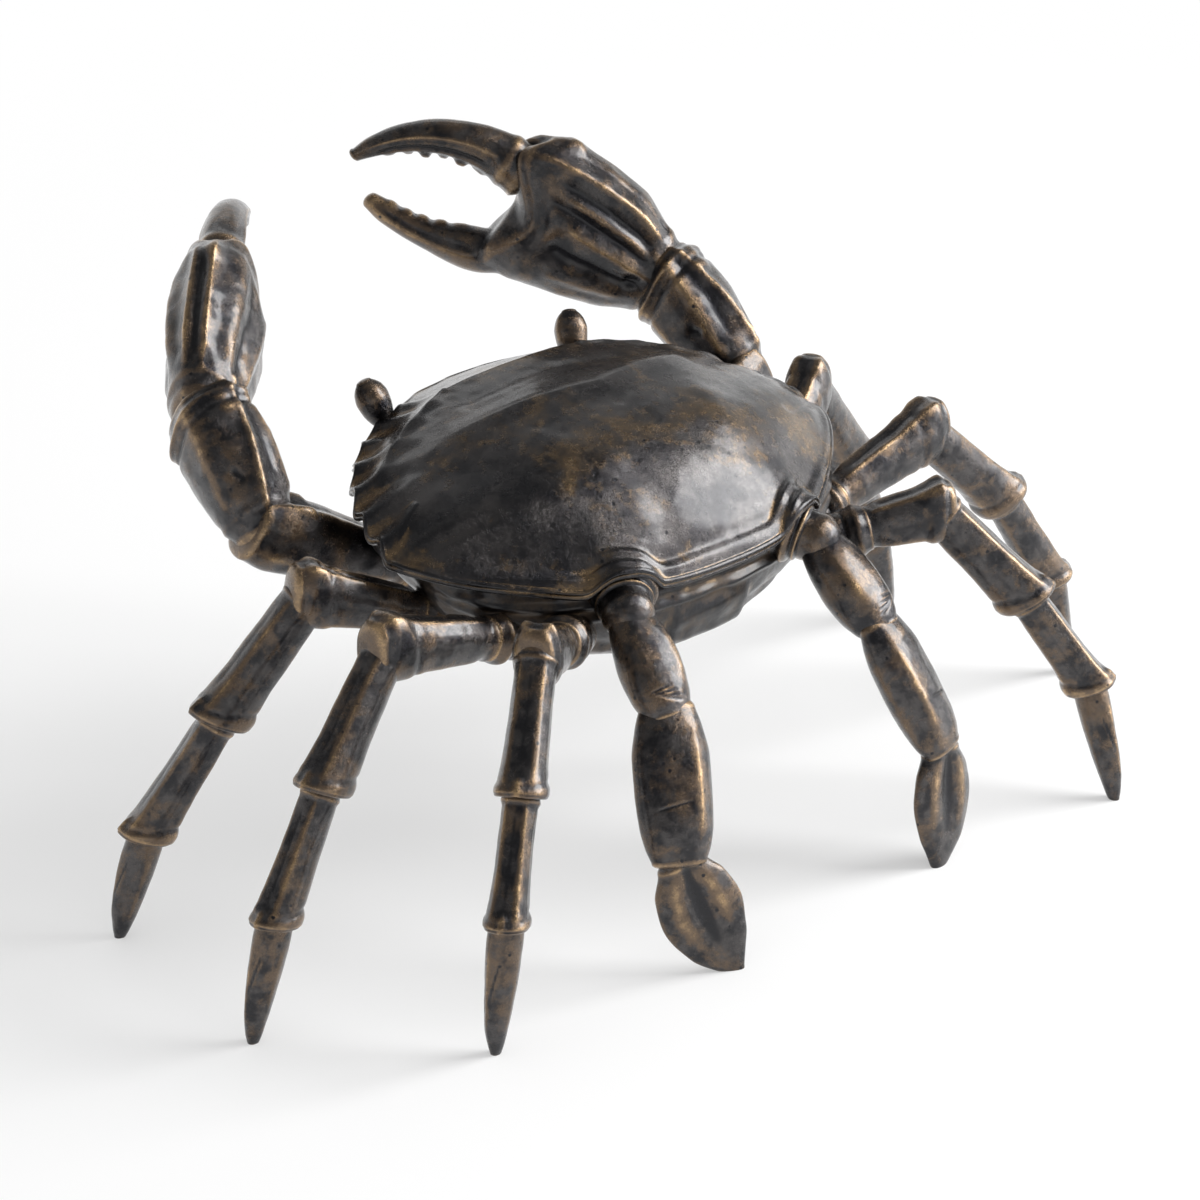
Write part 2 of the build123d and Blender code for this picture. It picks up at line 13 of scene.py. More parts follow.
import bpy
import numpy as np
from mathutils import Matrix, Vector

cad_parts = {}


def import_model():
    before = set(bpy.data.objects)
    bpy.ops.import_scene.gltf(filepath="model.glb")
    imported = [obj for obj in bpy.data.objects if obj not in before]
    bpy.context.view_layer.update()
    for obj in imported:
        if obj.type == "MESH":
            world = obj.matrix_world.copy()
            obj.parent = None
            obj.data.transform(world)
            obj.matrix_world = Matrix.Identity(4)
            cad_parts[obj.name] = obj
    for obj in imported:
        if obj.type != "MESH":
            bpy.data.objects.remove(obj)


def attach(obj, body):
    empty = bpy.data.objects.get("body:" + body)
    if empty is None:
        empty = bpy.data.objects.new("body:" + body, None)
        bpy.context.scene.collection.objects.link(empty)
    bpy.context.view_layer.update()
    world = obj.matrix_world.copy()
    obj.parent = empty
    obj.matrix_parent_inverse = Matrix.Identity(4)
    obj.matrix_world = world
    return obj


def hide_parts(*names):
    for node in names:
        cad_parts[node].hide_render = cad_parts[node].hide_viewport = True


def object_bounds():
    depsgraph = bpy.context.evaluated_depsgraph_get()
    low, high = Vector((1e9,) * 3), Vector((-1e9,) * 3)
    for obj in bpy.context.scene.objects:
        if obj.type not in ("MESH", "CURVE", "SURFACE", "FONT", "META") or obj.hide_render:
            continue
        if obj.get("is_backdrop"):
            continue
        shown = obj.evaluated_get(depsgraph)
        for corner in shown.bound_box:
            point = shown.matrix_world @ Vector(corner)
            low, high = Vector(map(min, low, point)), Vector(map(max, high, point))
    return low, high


Array = np.ndarray
Socket = bpy.types.NodeSocket
MM = 0.001
TAU = 2 * np.pi
WHITE = (1.0, 1.0, 1.0)
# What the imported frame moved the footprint's middle by
FOOTPRINT = (1.1884, 35.5600, 0.0)
# How many random values the noise draws on, and what spreads its lattice's corners over them
NOISE_VALUES = 4096
NOISE_KEYS = (73856093, 19349663, 83492791)
# The share and the size of the two layers of hand-worked unevenness, and how far apart their seeds are
COARSE, FINE, FINE_SEED = (0.7, 6.5), (0.3, 2.4), 50
# How many rows round off each end of a casting, how many line its cup, and how square a hood's end is
END_ROWS, CUP_ROWS, HOOD_POWER = 10, 9, 0.74
log = logging.getLogger("crab")


class Side(Enum):
    """The crab's own sides."""

    LEFT = "left"
    RIGHT = "right"


class Slot(Enum):
    """The record's material slots."""

    SHELL = "shell_bronze"
    CLAW = "claw_bronze"
    LEG = "leg_bronze"
    EYE = "eye_bronze"


class Ending(Enum):
    """How a casting closes at its far end: to a tip, in a cupped mouth, or in a blunt hood."""

    TIP = "tip"
    MOUTH = "mouth"
    HOOD = "hood"


def step(low: float, high: float, value: Array) -> Array:
    """Rises smoothly from 0 at low to 1 at high, as 3x squared less 2x cubed."""
    x = np.clip((value - low) / (high - low), 0, 1)
    return x * x * (3 - 2 * x)


def bell(value: Array, place: float, width: float) -> Array:
    """A bump of height one at a place: e to the minus (distance from it over the width) squared."""
    return np.exp(-(((value - place) / width) ** 2))


def turns(count: int) -> Array:
    """Equal angles round a circle, from nought."""
    return TAU * np.arange(count) / count


def monotone(x: Array, knots: Array, values: Array) -> Array:
    """A smooth curve through knots that never overshoots them: a cubic on each gap, whose slope at each knot is
    the harmonic mean of the slopes on its two sides, or nought where they differ in sign.

    Args:
        x: where to work the curve out.
        knots: rising places of the knots.
        values: the curve's value at each knot.

    Returns:
        The curve's value at each x, held level beyond the knots.
    """
    gap = np.diff(knots)
    slope = np.diff(values) / gap
    before, after = slope[:-1], slope[1:]
    same = before * after > 0
    total = np.where(same, before + after, 1)
    inner = np.where(same, 2 * before * after / total, 0)
    lean = np.concatenate([slope[:1], inner, slope[-1:]])
    x = np.clip(x, knots[0], knots[-1])
    i = np.clip(np.searchsorted(knots, x, side="right") - 1, 0, len(gap) - 1)
    t = (x - knots[i]) / gap[i]
    rise = lean[i] * gap[i]
    fall = lean[i + 1] * gap[i]
    jump = values[i + 1] - values[i]
    return values[i] + t * (rise + t * (3 * jump - 2 * rise - fall + t * (rise + fall - 2 * jump)))


def lumps(points: Array, size: float, seed: int) -> Array:
    """Soft noise from -1 to 1: random values at the corners of a cube lattice, blended by smooth steps in each cube.

    Args:
        points: places in millimetres, three to a row.
        size: the cube's edge.
        seed: picks the random values.

    Returns:
        The noise at each place.
    """
    table = np.random.default_rng(seed).uniform(-1, 1, NOISE_VALUES)
    scaled = points / size
    cell = np.floor(scaled).astype(np.int64)
    part = scaled - cell
    part = part * part * (3 - 2 * part)
    total = np.zeros(points.shape[:-1])
    for corner in product((0, 1), repeat=3):
        key = (cell + corner) @ np.array(NOISE_KEYS)
        weight = np.prod(np.where(corner, part, 1 - part), axis=-1)
        total += weight * table[(key ^ (key >> 13)) % len(table)]
    return total


def unit(vector: Array) -> Array:
    """The vector at length one."""
    return vector / np.linalg.norm(vector, axis=-1, keepdims=True)


@dataclass(frozen=True)
class Axis:
    """The line that a casting follows: its start, its direction, its up direction and its length."""

    start: Array
    direction: Array
    up: Array
    length: float

    @property
    def side(self) -> Array:
        """The direction square to both."""
        return np.cross(self.up, self.direction)

    @property
    def end(self) -> Array:
        """The far end."""
        return self.start + self.direction * self.length

    @staticmethod
    def aimed(start: Array, heading: float, pitch: float, length: float, roll: float = 0.0) -> "Axis":
        """A line at a heading from +X towards +Y and a pitch above the floor.

        Args:
            start: where it starts.
            heading: degrees round the vertical.
            pitch: degrees above the floor.
            length: how long it is.
            roll: degrees that its up direction is turned about it.

        Returns:
            The axis.
        """
        h, p, r = np.radians([heading, pitch, roll])
        direction = np.array([np.cos(h) * np.cos(p), np.sin(h) * np.cos(p), np.sin(p)])
        up = unit(np.array([0.0, 0.0, 1.0]) - direction * direction[2])
        side = np.cross(up, direction)
        return Axis(start, direction, up * np.cos(r) + side * np.sin(r), length)

    @staticmethod
    def to_floor(start: Array, heading: float, pitch: float, roll: float = 0.0) -> "Axis":
        """A line at a heading and a pitch, below nought, that runs down until it meets the standing surface."""
        return Axis.aimed(start, heading, pitch, start[2] / -np.sin(np.radians(pitch)), roll)

    def branch(self, length: float, lift: float, back: float, turn: float, lean: float) -> "Axis":
        """A line that leaves this one near its end.

        Args:
            length: how long it is.
            lift: how far above this line it starts.
            back: how far before this line's end it starts.
            turn: degrees that it turns up in this line's upright plane.
            lean: degrees that it leans out of that plane.

        Returns:
            The branch.
        """
        a, b = np.radians([turn, lean])
        forward = self.direction * np.cos(a) + self.up * np.sin(a)
        direction = forward * np.cos(b) + self.side * np.sin(b)
        up = unit(self.up - direction * (self.up @ direction))
        return Axis(self.end + self.up * lift - self.direction * back, direction, up, length)


@dataclass(frozen=True)
class Spots:
    """Where a casting's points lie: their shares of its length, distances along it, angles round it and radii."""

    length: float
    along: Array
    angle: Array
    radius: Array

    @property
    def share(self) -> Array:
        """The share of the length at each spot."""
        return self.along / self.length

    def turn(self, degrees: float) -> Array:
        """The signed turn from an angle in degrees to each spot's own, in radians."""
        return (self.angle - np.radians(degrees) + np.pi) % TAU - np.pi


class Relief(Protocol):
    """Something raised on a casting or cut into it."""

    def height(self, at: Spots) -> Array:
        """How far the surface moves out at each spot."""


@dataclass(frozen=True)
class Ridge:
    """A lengthwise ridge, or a groove where its size is negative: size times e to the minus (turn over spread) to
    a power, faded in and out along the casting. A power near 1 is a crest, and 2 or more a soft roll."""

    angle: float
    spread: float
    size: float
    start: float = -0.5
    end: float = 1.6
    drift: float = 0.0
    power: float = 1.4
    fade: float = 0.14

    def height(self, at: Spots) -> Array:
        """Works the ridge out.

        Args:
            at: the casting's spots.

        Returns:
            Its height at each.
        """
        turn = (at.turn(self.angle) - np.radians(self.drift) * at.share + np.pi) % TAU - np.pi
        crest = np.exp(-(np.abs(turn / np.radians(self.spread)) ** self.power))
        begun = step(self.start, self.start + self.fade, at.share)
        return self.size * crest * begun * (1 - step(self.end - self.fade, self.end, at.share))


@dataclass(frozen=True)
class Band:
    """A ring round a casting: size times e to the minus (distance from its place over its width) squared."""

    place: float
    width: float
    size: float
    lean: float = 0.0

    def height(self, at: Spots) -> Array:
        """The ring's height at each spot."""
        return self.size * bell(at.along, self.place * at.length + self.lean * np.sin(at.angle), self.width)


@dataclass(frozen=True)
class Mark:
    """A lump, a cut or a tooth at one spot: size times e to the minus fourth power along it and square across it."""

    place: float
    angle: float
    long: float
    wide: float
    size: float
    turn: float = 0.0

    def height(self, at: Spots) -> Array:
        """Works the mark out.

        Args:
            at: the casting's spots.

        Returns:
            Its height at each.
        """
        x = at.along - self.place * at.length
        y = at.turn(self.angle) * at.radius
        c, s = np.cos(np.radians(self.turn)), np.sin(np.radians(self.turn))
        reach = ((x * c + y * s) / self.long) ** 4 + ((y * c - x * s) / self.wide) ** 2
        return self.size * np.exp(-reach)


@dataclass(frozen=True)
class Casting:
    """One cast piece. Each station is (share along, width share, height share), with the share that the line rises
    by after the first where it rises. The section between stations is a superellipse whose corners square up towards
    the far end. Each row of the rim is (angle, spread, reach) of a lobe of the far edge."""

    width: float
    height: float
    stations: tuple
    reliefs: tuple = ()
    ending: Ending = Ending.HOOD
    head: float = 4.0
    cap: float = 1.6
    lip: float = 0.7
    cup: float = 1.2
    arch: float = 0.0
    lean: float = 0.0
    rim: tuple = ()
    lean_from: float = 0.55
    square: float = 2.3
    square_from: float = 0.2
    worked: float = 0.16
    rows: int = 84
    around: int = 72
    seed: int = 0
    on_floor: bool = False

    def lines(self, length: float) -> tuple[Array, Array, Array]:
        """Lays out the grid's rows. The head is a quarter ellipse, and the far end a quarter ellipse, a squarer one,
        or a lip and a cup.

        Args:
            length: the axis's length.

        Returns:
            How far along each row lies, how far it is set in, and the share of the radius that it keeps.
        """
        first, last = self.stations[0][0] * length, self.stations[-1][0] * length
        turn = np.linspace(0, np.pi / 2, END_ROWS)
        round_rows = len(turn) - 1
        along = [first - self.head * np.cos(turn[:-1]), np.linspace(first, last, self.rows)]
        inset = [np.zeros(round_rows), np.zeros(self.rows)]
        scale = [np.sin(turn[:-1]), np.ones(self.rows)]
        if self.ending is Ending.MOUTH:
            down = np.linspace(0, 1, CUP_ROWS)[1:]
            along += [last + self.lip * np.sin(turn[1:]), last + self.lip - self.cup * step(0, 1, down)]
            inset += [self.lip * (1 - np.cos(turn[1:])), np.full(len(down), self.lip)]
            scale += [np.ones(round_rows), 1 - down]
        else:
            power = 1.0 if self.ending is Ending.TIP else HOOD_POWER
            along.append(last + self.cap * np.sin(turn[1:]) ** power)
            inset.append(np.zeros(round_rows))
            scale.append(np.cos(turn[1:]) ** power)
        scale = np.concatenate(scale)
        scale[-1] = 0
        return np.concatenate(along), np.concatenate(inset), scale

    def surface(self, axis: Axis, seed: int = 0) -> Array:
        """Works the grid out: the axis point at each row, plus the section's two half sizes times the cosine and
        sine of the angle, plus the reliefs and the hand-worked unevenness along the section's normal.

        Args:
            axis: the line it lies along.
            seed: the limb's seed, which the casting's own is added to.

        Returns:
            The points, rows by angles by three.
        """
        knots = np.array([row if len(row) > 3 else (row[0], 0.0, *row[1:]) for row in self.stations], float)
        along, inset, scale = self.lines(axis.length)
        share = np.clip(along / axis.length, knots[0, 0], knots[-1, 0])
        rise, wide, high = (monotone(share, knots[:, 0], knots[:, k])[:, None] for k in (1, 2, 3))
        angle = turns(self.around)[None, :]
        across, upward = np.cos(angle), np.sin(angle)
        share = share[:, None]
        corner = 2.0 + (self.square - 2.0) * step(self.square_from, 1.0, share)
        box = (np.abs(across) ** corner + np.abs(upward) ** corner) ** (-1 / corner)
        half_wide = (wide * self.width / 2 - inset[:, None]) * scale[:, None] * box
        half_high = (high * self.height / 2 - inset[:, None]) * scale[:, None] * box
        bow = 4 * self.arch * share * (1 - share)
        slope = 4 * self.arch * (1 - 2 * share) / axis.length
        tangent = unit(axis.direction + axis.up * slope[..., None])
        normal = unit(axis.up - axis.direction * slope[..., None])
        outward = unit(
            axis.side * (across * half_high + 1e-9)[..., None] + normal * (upward * half_wide + 1e-9)[..., None]
        )
        radius = np.hypot(half_wide * across, half_high * upward)
        at = Spots(axis.length, along[:, None], angle, radius)
        ahead = self.lean * upward
        for middle, spread, reach in self.rim:
            ahead = ahead + reach * bell(at.turn(middle), 0, np.radians(spread))
        raised = sum((relief.height(at) for relief in self.reliefs), np.zeros_like(radius))
        points = (
            axis.start
            + axis.direction * along[:, None, None]
            + axis.up * (bow + rise * self.height)[..., None]
            + tangent * (ahead * step(self.lean_from, 1.0, share) * scale[:, None])[..., None]
            + axis.side * (half_wide * across)[..., None]
            + normal * (half_high * upward)[..., None]
        )
        seed += self.seed
        rough = COARSE[0] * lumps(points, COARSE[1], seed) + FINE[0] * lumps(points, FINE[1], seed + FINE_SEED)
        points = points + outward * ((raised + self.worked * rough) * np.sqrt(scale)[:, None])[..., None]
        if self.on_floor:
            points[..., 2] = np.maximum(points[..., 2], 0)
        points[0], points[-1] = points[0].mean(axis=0), points[-1].mean(axis=0)
        return points


class Shades:
    """Adds shader nodes to one tree and gives back the sockets that the next ones start from."""

    def __init__(self, tree: bpy.types.NodeTree, place: str = "Object") -> None:
        """Empties the tree.

        Args:
            tree: what the nodes go into.
            place: the kind of coordinates that every pattern lies in.
        """
        tree.nodes.clear()
        self.tree = tree
        self.place = self.add("ShaderNodeTexCoord").outputs[place]

    def feed(self, socket: Socket, value: object) -> None:
        """Sets a socket to a number or a colour, or links it to another socket.

        Args:
            socket: what is set.
            value: a number, three numbers of a colour, or a socket.
        """
        if isinstance(value, bpy.types.NodeSocket):
            self.tree.links.new(value, socket)
        else:
            socket.default_value = (*value, 1.0) if isinstance(value, tuple) else value

    def add(self, kind: str, inputs: Optional[dict] = None, **settings: object) -> bpy.types.Node:
        """Adds a node.

        Args:
            kind: its kind.
            inputs: what its inputs are fed, by their names or places.
            settings: its other settings.

        Returns:
            The node.
        """
        node = self.tree.nodes.new(kind)
        for key, value in settings.items():
            setattr(node, key, value)
        for key, value in (inputs or {}).items():
            self.feed(node.inputs[key], value)
        return node

    def noise(self, size: float, detail: float, roughness: float = 0.55, distortion: float = 0.0) -> Socket:
        """Cloudy noise from 0 to 1, whose largest lumps have a size in millimetres."""
        sizes = {"Scale": 1 / (size * MM), "Detail": detail, "Roughness": roughness, "Distortion": distortion}
        return self.add("ShaderNodeTexNoise", {**sizes, "Vector": self.place}).outputs["Fac"]

    def cells(self, size: float) -> Socket:
        """The distance to the nearest of many scattered points, about one to each cube of a size in millimetres."""
        inputs = {"Scale": 1 / (size * MM), "Vector": self.place}
        return self.add("ShaderNodeTexVoronoi", inputs, feature="F1").outputs["Distance"]

    def span(self, value: Socket, low: float, high: float, out: tuple = (0.0, 1.0)) -> Socket:
        """Maps a value smoothly from the range between low and high to another one."""
        inputs = {"Value": value, "From Min": low, "From Max": high, "To Min": out[0], "To Max": out[1]}
        return self.add("ShaderNodeMapRange", inputs, interpolation_type="SMOOTHSTEP").outputs["Result"]

    def math(self, kind: str, a: object, b: object) -> Socket:
        """One sum of two numbers or sockets."""
        return self.add("ShaderNodeMath", {0: a, 1: b}, operation=kind).outputs[0]

    def sway(self, value: Socket, pattern: Socket, amount: float) -> Socket:
        """A value plus a pattern's swing: value plus amount times (pattern less a half)."""
        return self.math("ADD", value, self.math("MULTIPLY", self.math("SUBTRACT", pattern, 0.5), amount))

    def mix(self, share: Socket, a: object, b: object) -> Socket:
        """A colour between two, by a share."""
        return self.add("ShaderNodeMix", {"Factor": share, 6: a, 7: b}, data_type="RGBA").outputs[2]

    def cover(self, share: Socket, under: bpy.types.Node, over: bpy.types.Node) -> Socket:
        """One shader over another, by a share."""
        return self.add("ShaderNodeMixShader", {0: share, 1: under.outputs[0], 2: over.outputs[0]}).outputs[0]

    def seen(self) -> Socket:
        """Tells what is looked at from what only gives off bounced light.

        Returns:
            One for the camera, the gloss and see-through rays, and nought for the others.
        """
        path = self.add("ShaderNodeLightPath").outputs
        either = self.math("MAXIMUM", path["Is Camera Ray"], path["Is Glossy Ray"])
        return self.math("MAXIMUM", either, path["Is Transmission Ray"])


@dataclass(frozen=True)
class Patina:
    """A dark patina on bronze: black in the hollows, brown in patches, and rubbed to golden metal on the edges.
    The mesh's own rub value says how far each spot stands out of its surroundings."""

    name: str
    black: tuple = (0.014, 0.014, 0.017)
    umber: tuple = (0.075, 0.069, 0.068)
    brown: tuple = (0.130, 0.090, 0.060)
    gold: tuple = (0.46, 0.31, 0.165)
    patch_size: float = 16.0
    cloud_share: float = 0.55
    umber_from: float = 0.38
    umber_to: float = 0.64
    brown_from: float = 0.44
    brown_to: float = 0.78
    brown_edge: float = -0.1
    gold_from: float = 0.55
    gold_to: float = 1.6
    rough_low: float = 0.18
    rough_high: float = 0.30
    pits: float = 0.35
    pit_size: float = 4.6
    pit_from: float = 0.08
    pit_to: float = 0.13
    dark_from: float = -0.25
    dark_to: float = -1.05
    # How far the mottle, the grain and the patches sway the rubbed edge, and how far one of them sways the rest
    edge_sways: tuple = (1.3, 0.5, 1.6)
    brown_sway: float = 0.55
    dark_sway: float = 0.5
    pit_sway: float = 0.08
    mottle_size: float = 3.2
    grain_size: float = 0.7
    scratch_size: float = 1.3
    # The part of a noise's range that is stretched to the whole, and each noise's share of the bumps
    middle: tuple = (0.3, 0.7)
    scratches: float = 0.30
    mottles: float = 0.45
    bump: float = 0.55
    bump_depth: float = 0.35
    metallic: float = 0.92
    coat: float = 0.6
    coat_rough: float = 0.18

    def build(self) -> bpy.types.Material:
        """Makes the material.

        Returns:
            The material, on Object coordinates and the rub attribute.
        """
        made = bpy.data.materials.new(self.name)
        made.use_nodes = True
        s = Shades(made.node_tree)
        rub = s.add("ShaderNodeAttribute", attribute_name="rub").outputs["Fac"]
        patches = s.noise(self.patch_size, detail=4.0, roughness=0.6, distortion=0.4)
        clouds = s.noise(self.patch_size * self.cloud_share, detail=5.0, roughness=0.65)
        mottle = s.noise(self.mottle_size, detail=5.0, roughness=0.7)
        grain = s.noise(self.grain_size, detail=3.0, roughness=0.6)
        ground = s.mix(s.span(clouds, self.umber_from, self.umber_to), self.black, self.umber)
        browned = s.span(s.sway(patches, mottle, self.brown_sway), self.brown_from, self.brown_to)
        ground = s.mix(browned, ground, self.brown)
        edge = rub
        for pattern, amount in zip((mottle, grain, patches), self.edge_sways):
            edge = s.sway(edge, pattern, amount)
        bronze = s.mix(s.span(edge, self.brown_edge, self.gold_from), ground, self.brown)
        bright = s.mix(s.span(edge, self.gold_from, self.gold_to), bronze, self.gold)
        dark = s.span(s.sway(rub, mottle, self.dark_sway), self.dark_from, self.dark_to)
        colour = s.mix(dark, bright, self.black)
        solid = s.span(s.sway(s.cells(self.pit_size), grain, self.pit_sway), self.pit_from, self.pit_to)
        scratch = s.span(s.noise(self.scratch_size, detail=6.0, roughness=0.8, distortion=1.5), *self.middle)
        height = s.math("ADD", s.math("MULTIPLY", solid, self.pits), s.math("MULTIPLY", scratch, self.scratches))
        height = s.math("ADD", height, s.math("MULTIPLY", mottle, self.mottles))
        sizes = {"Strength": self.bump, "Distance": self.bump_depth * MM}
        bump = s.add("ShaderNodeBump", {**sizes, "Height": height})
        shader = s.add("ShaderNodeBsdfPrincipled", {
            "Metallic": self.metallic,
            "Coat Weight": self.coat,
            "Coat Roughness": self.coat_rough,
            "Base Color": s.mix(solid, self.black, colour),
            "Roughness": s.span(mottle, *self.middle, (self.rough_low, self.rough_high)),
            "Normal": bump.outputs["Normal"],
        })
        s.add("ShaderNodeOutputMaterial", {"Surface": shader.outputs["BSDF"]})
        return made


def read(items: bpy.types.bpy_prop_collection, name: str, kind: type, width: int) -> Array:
    """Reads one property of every item of a mesh.

    Args:
        items: the mesh's vertices, edges or the like.
        name: the property.
        kind: the type of its numbers.
        width: how many it has.

    Returns:
        A row to each item.
    """
    values = np.empty(len(items) * width, kind)
    items.foreach_get(name, values)
    return values.reshape(-1, width)


class Net:
    """A mesh's vertices, in metres, and the edges that join them."""

    def __init__(self, mesh: bpy.types.Mesh) -> None:
        """Reads the points and works out which ones are neighbours.

        Args:
            mesh: what to read.
        """
        self.points = read(mesh.vertices, "co", np.float32, 3).astype(float)
        self.count = len(self.points)
        self.ends = read(mesh.edges, "vertices", np.int32, 2).T
        self.one, self.other = np.concatenate(self.ends), np.concatenate(self.ends[::-1])
        self.neighbours = np.maximum(np.bincount(self.one, minlength=self.count), 1)[:, None]

    def pull(self, points: Array) -> Array:
        """The way from each point to the mean of its neighbours."""
        total = np.stack([np.bincount(self.one, points[self.other, k], self.count) for k in range(3)], -1)
        return total / self.neighbours - points


@dataclass
class Workshop:
    """Turns grids into finished pieces: mirrored, moved over the footprint, rubbed, dressed and set on the frame."""

    shift: Array
    finishes: dict
    rub_radii: tuple = (0.9, 2.6)
    rub_heights: tuple = (0.10, 0.42)
    rub_gain: float = 0.6
    rub_pull: float = 0.6
    rub_share: float = 1.6
    rub_passes: tuple = (2, 60)
    melt_passes: int = 34
    melt_even: int = 2
    melt_pull: float = 0.5

    def mesh(self, name: str, grids: Iterable[Array], mirrored: bool) -> bpy.types.Mesh:
        """Makes one mesh of several closed grids. Each grid's first and last rows are poles, its quads turn
        outwards, and a mirrored one has x negated and its faces turned round.

        Args:
            name: the mesh's name.
            grids: arrays of rows by columns by three, in millimetres.
            mirrored: whether the piece is on the crab's right.

        Returns:
            The mesh in metres.
        """
        points, corners, sizes, offset = [], [], [], 0
        for grid in grids:
            grid = grid * (-1, 1, 1) if mirrored else grid
            rows, around = grid.shape[:2]
            points.append(np.concatenate([grid[0, :1], grid[1:-1].reshape(-1, 3), grid[-1, :1]]))
            count = len(points[-1])
            index = offset + 1 + np.arange(count - 2).reshape(rows - 2, around)
            after = np.roll(index, -1, axis=1)
            quads = np.stack([index[:-1], after[:-1], after[1:], index[1:]], -1).reshape(-1, 4)
            low = np.stack([np.full(around, offset), after[0], index[0]], -1)
            high = np.stack([index[-1], after[-1], np.full(around, offset + count - 1)], -1)
            for faces in (quads, low, high):
                corners.append((faces[:, ::-1] if mirrored else faces).ravel())
                sizes.append(np.full(len(faces), faces.shape[1]))
            offset += count
        vertices, loops, totals = np.concatenate(points), np.concatenate(corners), np.concatenate(sizes)
        mesh = bpy.data.meshes.new(name)
        mesh.vertices.add(len(vertices))
        mesh.vertices.foreach_set("co", ((vertices + self.shift) * MM).astype(np.float32).ravel())
        mesh.loops.add(len(loops))
        mesh.loops.foreach_set("vertex_index", loops.astype(np.int32))
        mesh.polygons.add(len(totals))
        mesh.polygons.foreach_set("loop_start", np.concatenate([[0], np.cumsum(totals)[:-1]]).astype(np.int32))
        mesh.polygons.foreach_set("loop_total", totals.astype(np.int32))
        mesh.update(calc_edges=True)
        mesh.shade_smooth()
        return mesh

    def rub(self, mesh: bpy.types.Mesh) -> None:
        """Stores how far each vertex stands out of the surface smoothed round it, as the rub attribute from -1 in a
        hollow to 1 on an edge: its offset from the mean of its neighbours after some passes, along its normal, less
        the piece's middle value, at a fine and a broad scale.

        Args:
            mesh: the mesh to mark.
        """
        net = Net(mesh)
        points = net.points / MM
        normals = read(mesh.vertex_normals, "vector", np.float32, 3)
        spacing = np.linalg.norm(points[net.ends[0]] - points[net.ends[1]], axis=1).mean()
        smooth, done, value = points.copy(), 0, np.zeros(net.count)
        for radius, size in zip(self.rub_radii, self.rub_heights):
            passes = int(np.clip(self.rub_share * (radius / spacing) ** 2, *self.rub_passes))
            for _ in range(passes - done):
                smooth += self.rub_pull * net.pull(smooth)
            done = max(done, passes)
            stand = np.einsum("ij,ij->i", points - smooth, normals)
            value += self.rub_gain * (stand - np.median(stand)) / size
        attribute = mesh.attributes.new("rub", "FLOAT", "POINT")
        attribute.data.foreach_set("value", np.clip(value, -1, 1).astype(np.float32))

    def place(self, name: str, grids: Iterable[Array], slot: Slot, side: Side = Side.LEFT, fused: float = 0.0,
              joint: Optional[Array] = None, finish: Optional[bpy.types.Material] = None) -> bpy.types.Object:
        """Makes a piece that stands for the node of the same name.

        Args:
            name: the node's name.
            grids: its closed surfaces.
            slot: the material slot it takes its finish from.
            side: the crab's side it is on.
            fused: the voxel size that melts its surfaces into one, or nought to leave them.
            joint: where two surfaces meet, whose crease is smoothed.
            finish: a finish of its own, where the slot's isn't it; the underbody's carries painted shade.

        Returns:
            The finished piece.
        """
        mirrored = side is Side.RIGHT
        mesh = self.mesh(name, grids, mirrored)
        piece = bpy.data.objects.new(name + "_bronze", mesh)
        bpy.context.scene.collection.objects.link(piece)
        if fused:
            centre = (joint * ((-1, 1, 1) if mirrored else (1, 1, 1)) + self.shift) * MM
            mesh = self.melt(piece, fused, centre)
        self.rub(mesh)
        mesh.materials.append(finish or self.finishes[slot])
        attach(piece, "root")
        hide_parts(name)
        log.info("%s: %d faces", piece.name, len(mesh.polygons))
        return piece

    def cast(self, stem: str, slot: Slot, side: Side, seed: int, castings: dict[str, tuple[Casting, Axis]]) -> None:
        """Makes a limb's castings from each one's name, its form and the line it lies along."""
        for name, (casting, axis) in castings.items():
            self.place(f"{side.value}_{stem}_{name}", [casting.surface(axis, seed)], slot, side)

    def melt(self, piece: bpy.types.Object, voxel: float, centre: Array, reach: float = 9.0) -> bpy.types.Mesh:
        """Melts a piece's surfaces into one closed skin and rounds the crease where they meet.

        Args:
            piece: the piece, whose mesh is replaced.
            voxel: the skin's cell size.
            centre: the crease's middle, in metres.
            reach: how far from it the rounding goes.

        Returns:
            The new mesh.
        """
        remesh = piece.modifiers.new("melt", "REMESH")
        remesh.mode = "VOXEL"
        remesh.voxel_size = voxel * MM
        graph = bpy.context.evaluated_depsgraph_get()
        mesh = bpy.data.meshes.new_from_object(piece.evaluated_get(graph))
        piece.modifiers.clear()
        piece.data = mesh
        net = Net(mesh)
        points = net.points
        weight = bell(np.linalg.norm(points - centre, axis=1), 0, reach * MM)[:, None]
        for turn in range(self.melt_passes):
            points += (np.maximum(weight, 1.0 if turn < self.melt_even else 0.0) * self.melt_pull) * net.pull(points)
        mesh.vertices.foreach_set("co", points.astype(np.float32).ravel())
        mesh.update()
        mesh.shade_smooth()
        return mesh


@dataclass(frozen=True)
class Ring:
    """A long round roll, or a groove where its size is negative, at one distance from where it is measured."""

    place: float
    width: float
    size: float

    def height(self, along: Array) -> Array:
        """Size times e to the minus (distance from its place over its width) squared."""
        return self.size * bell(along, self.place, self.width)


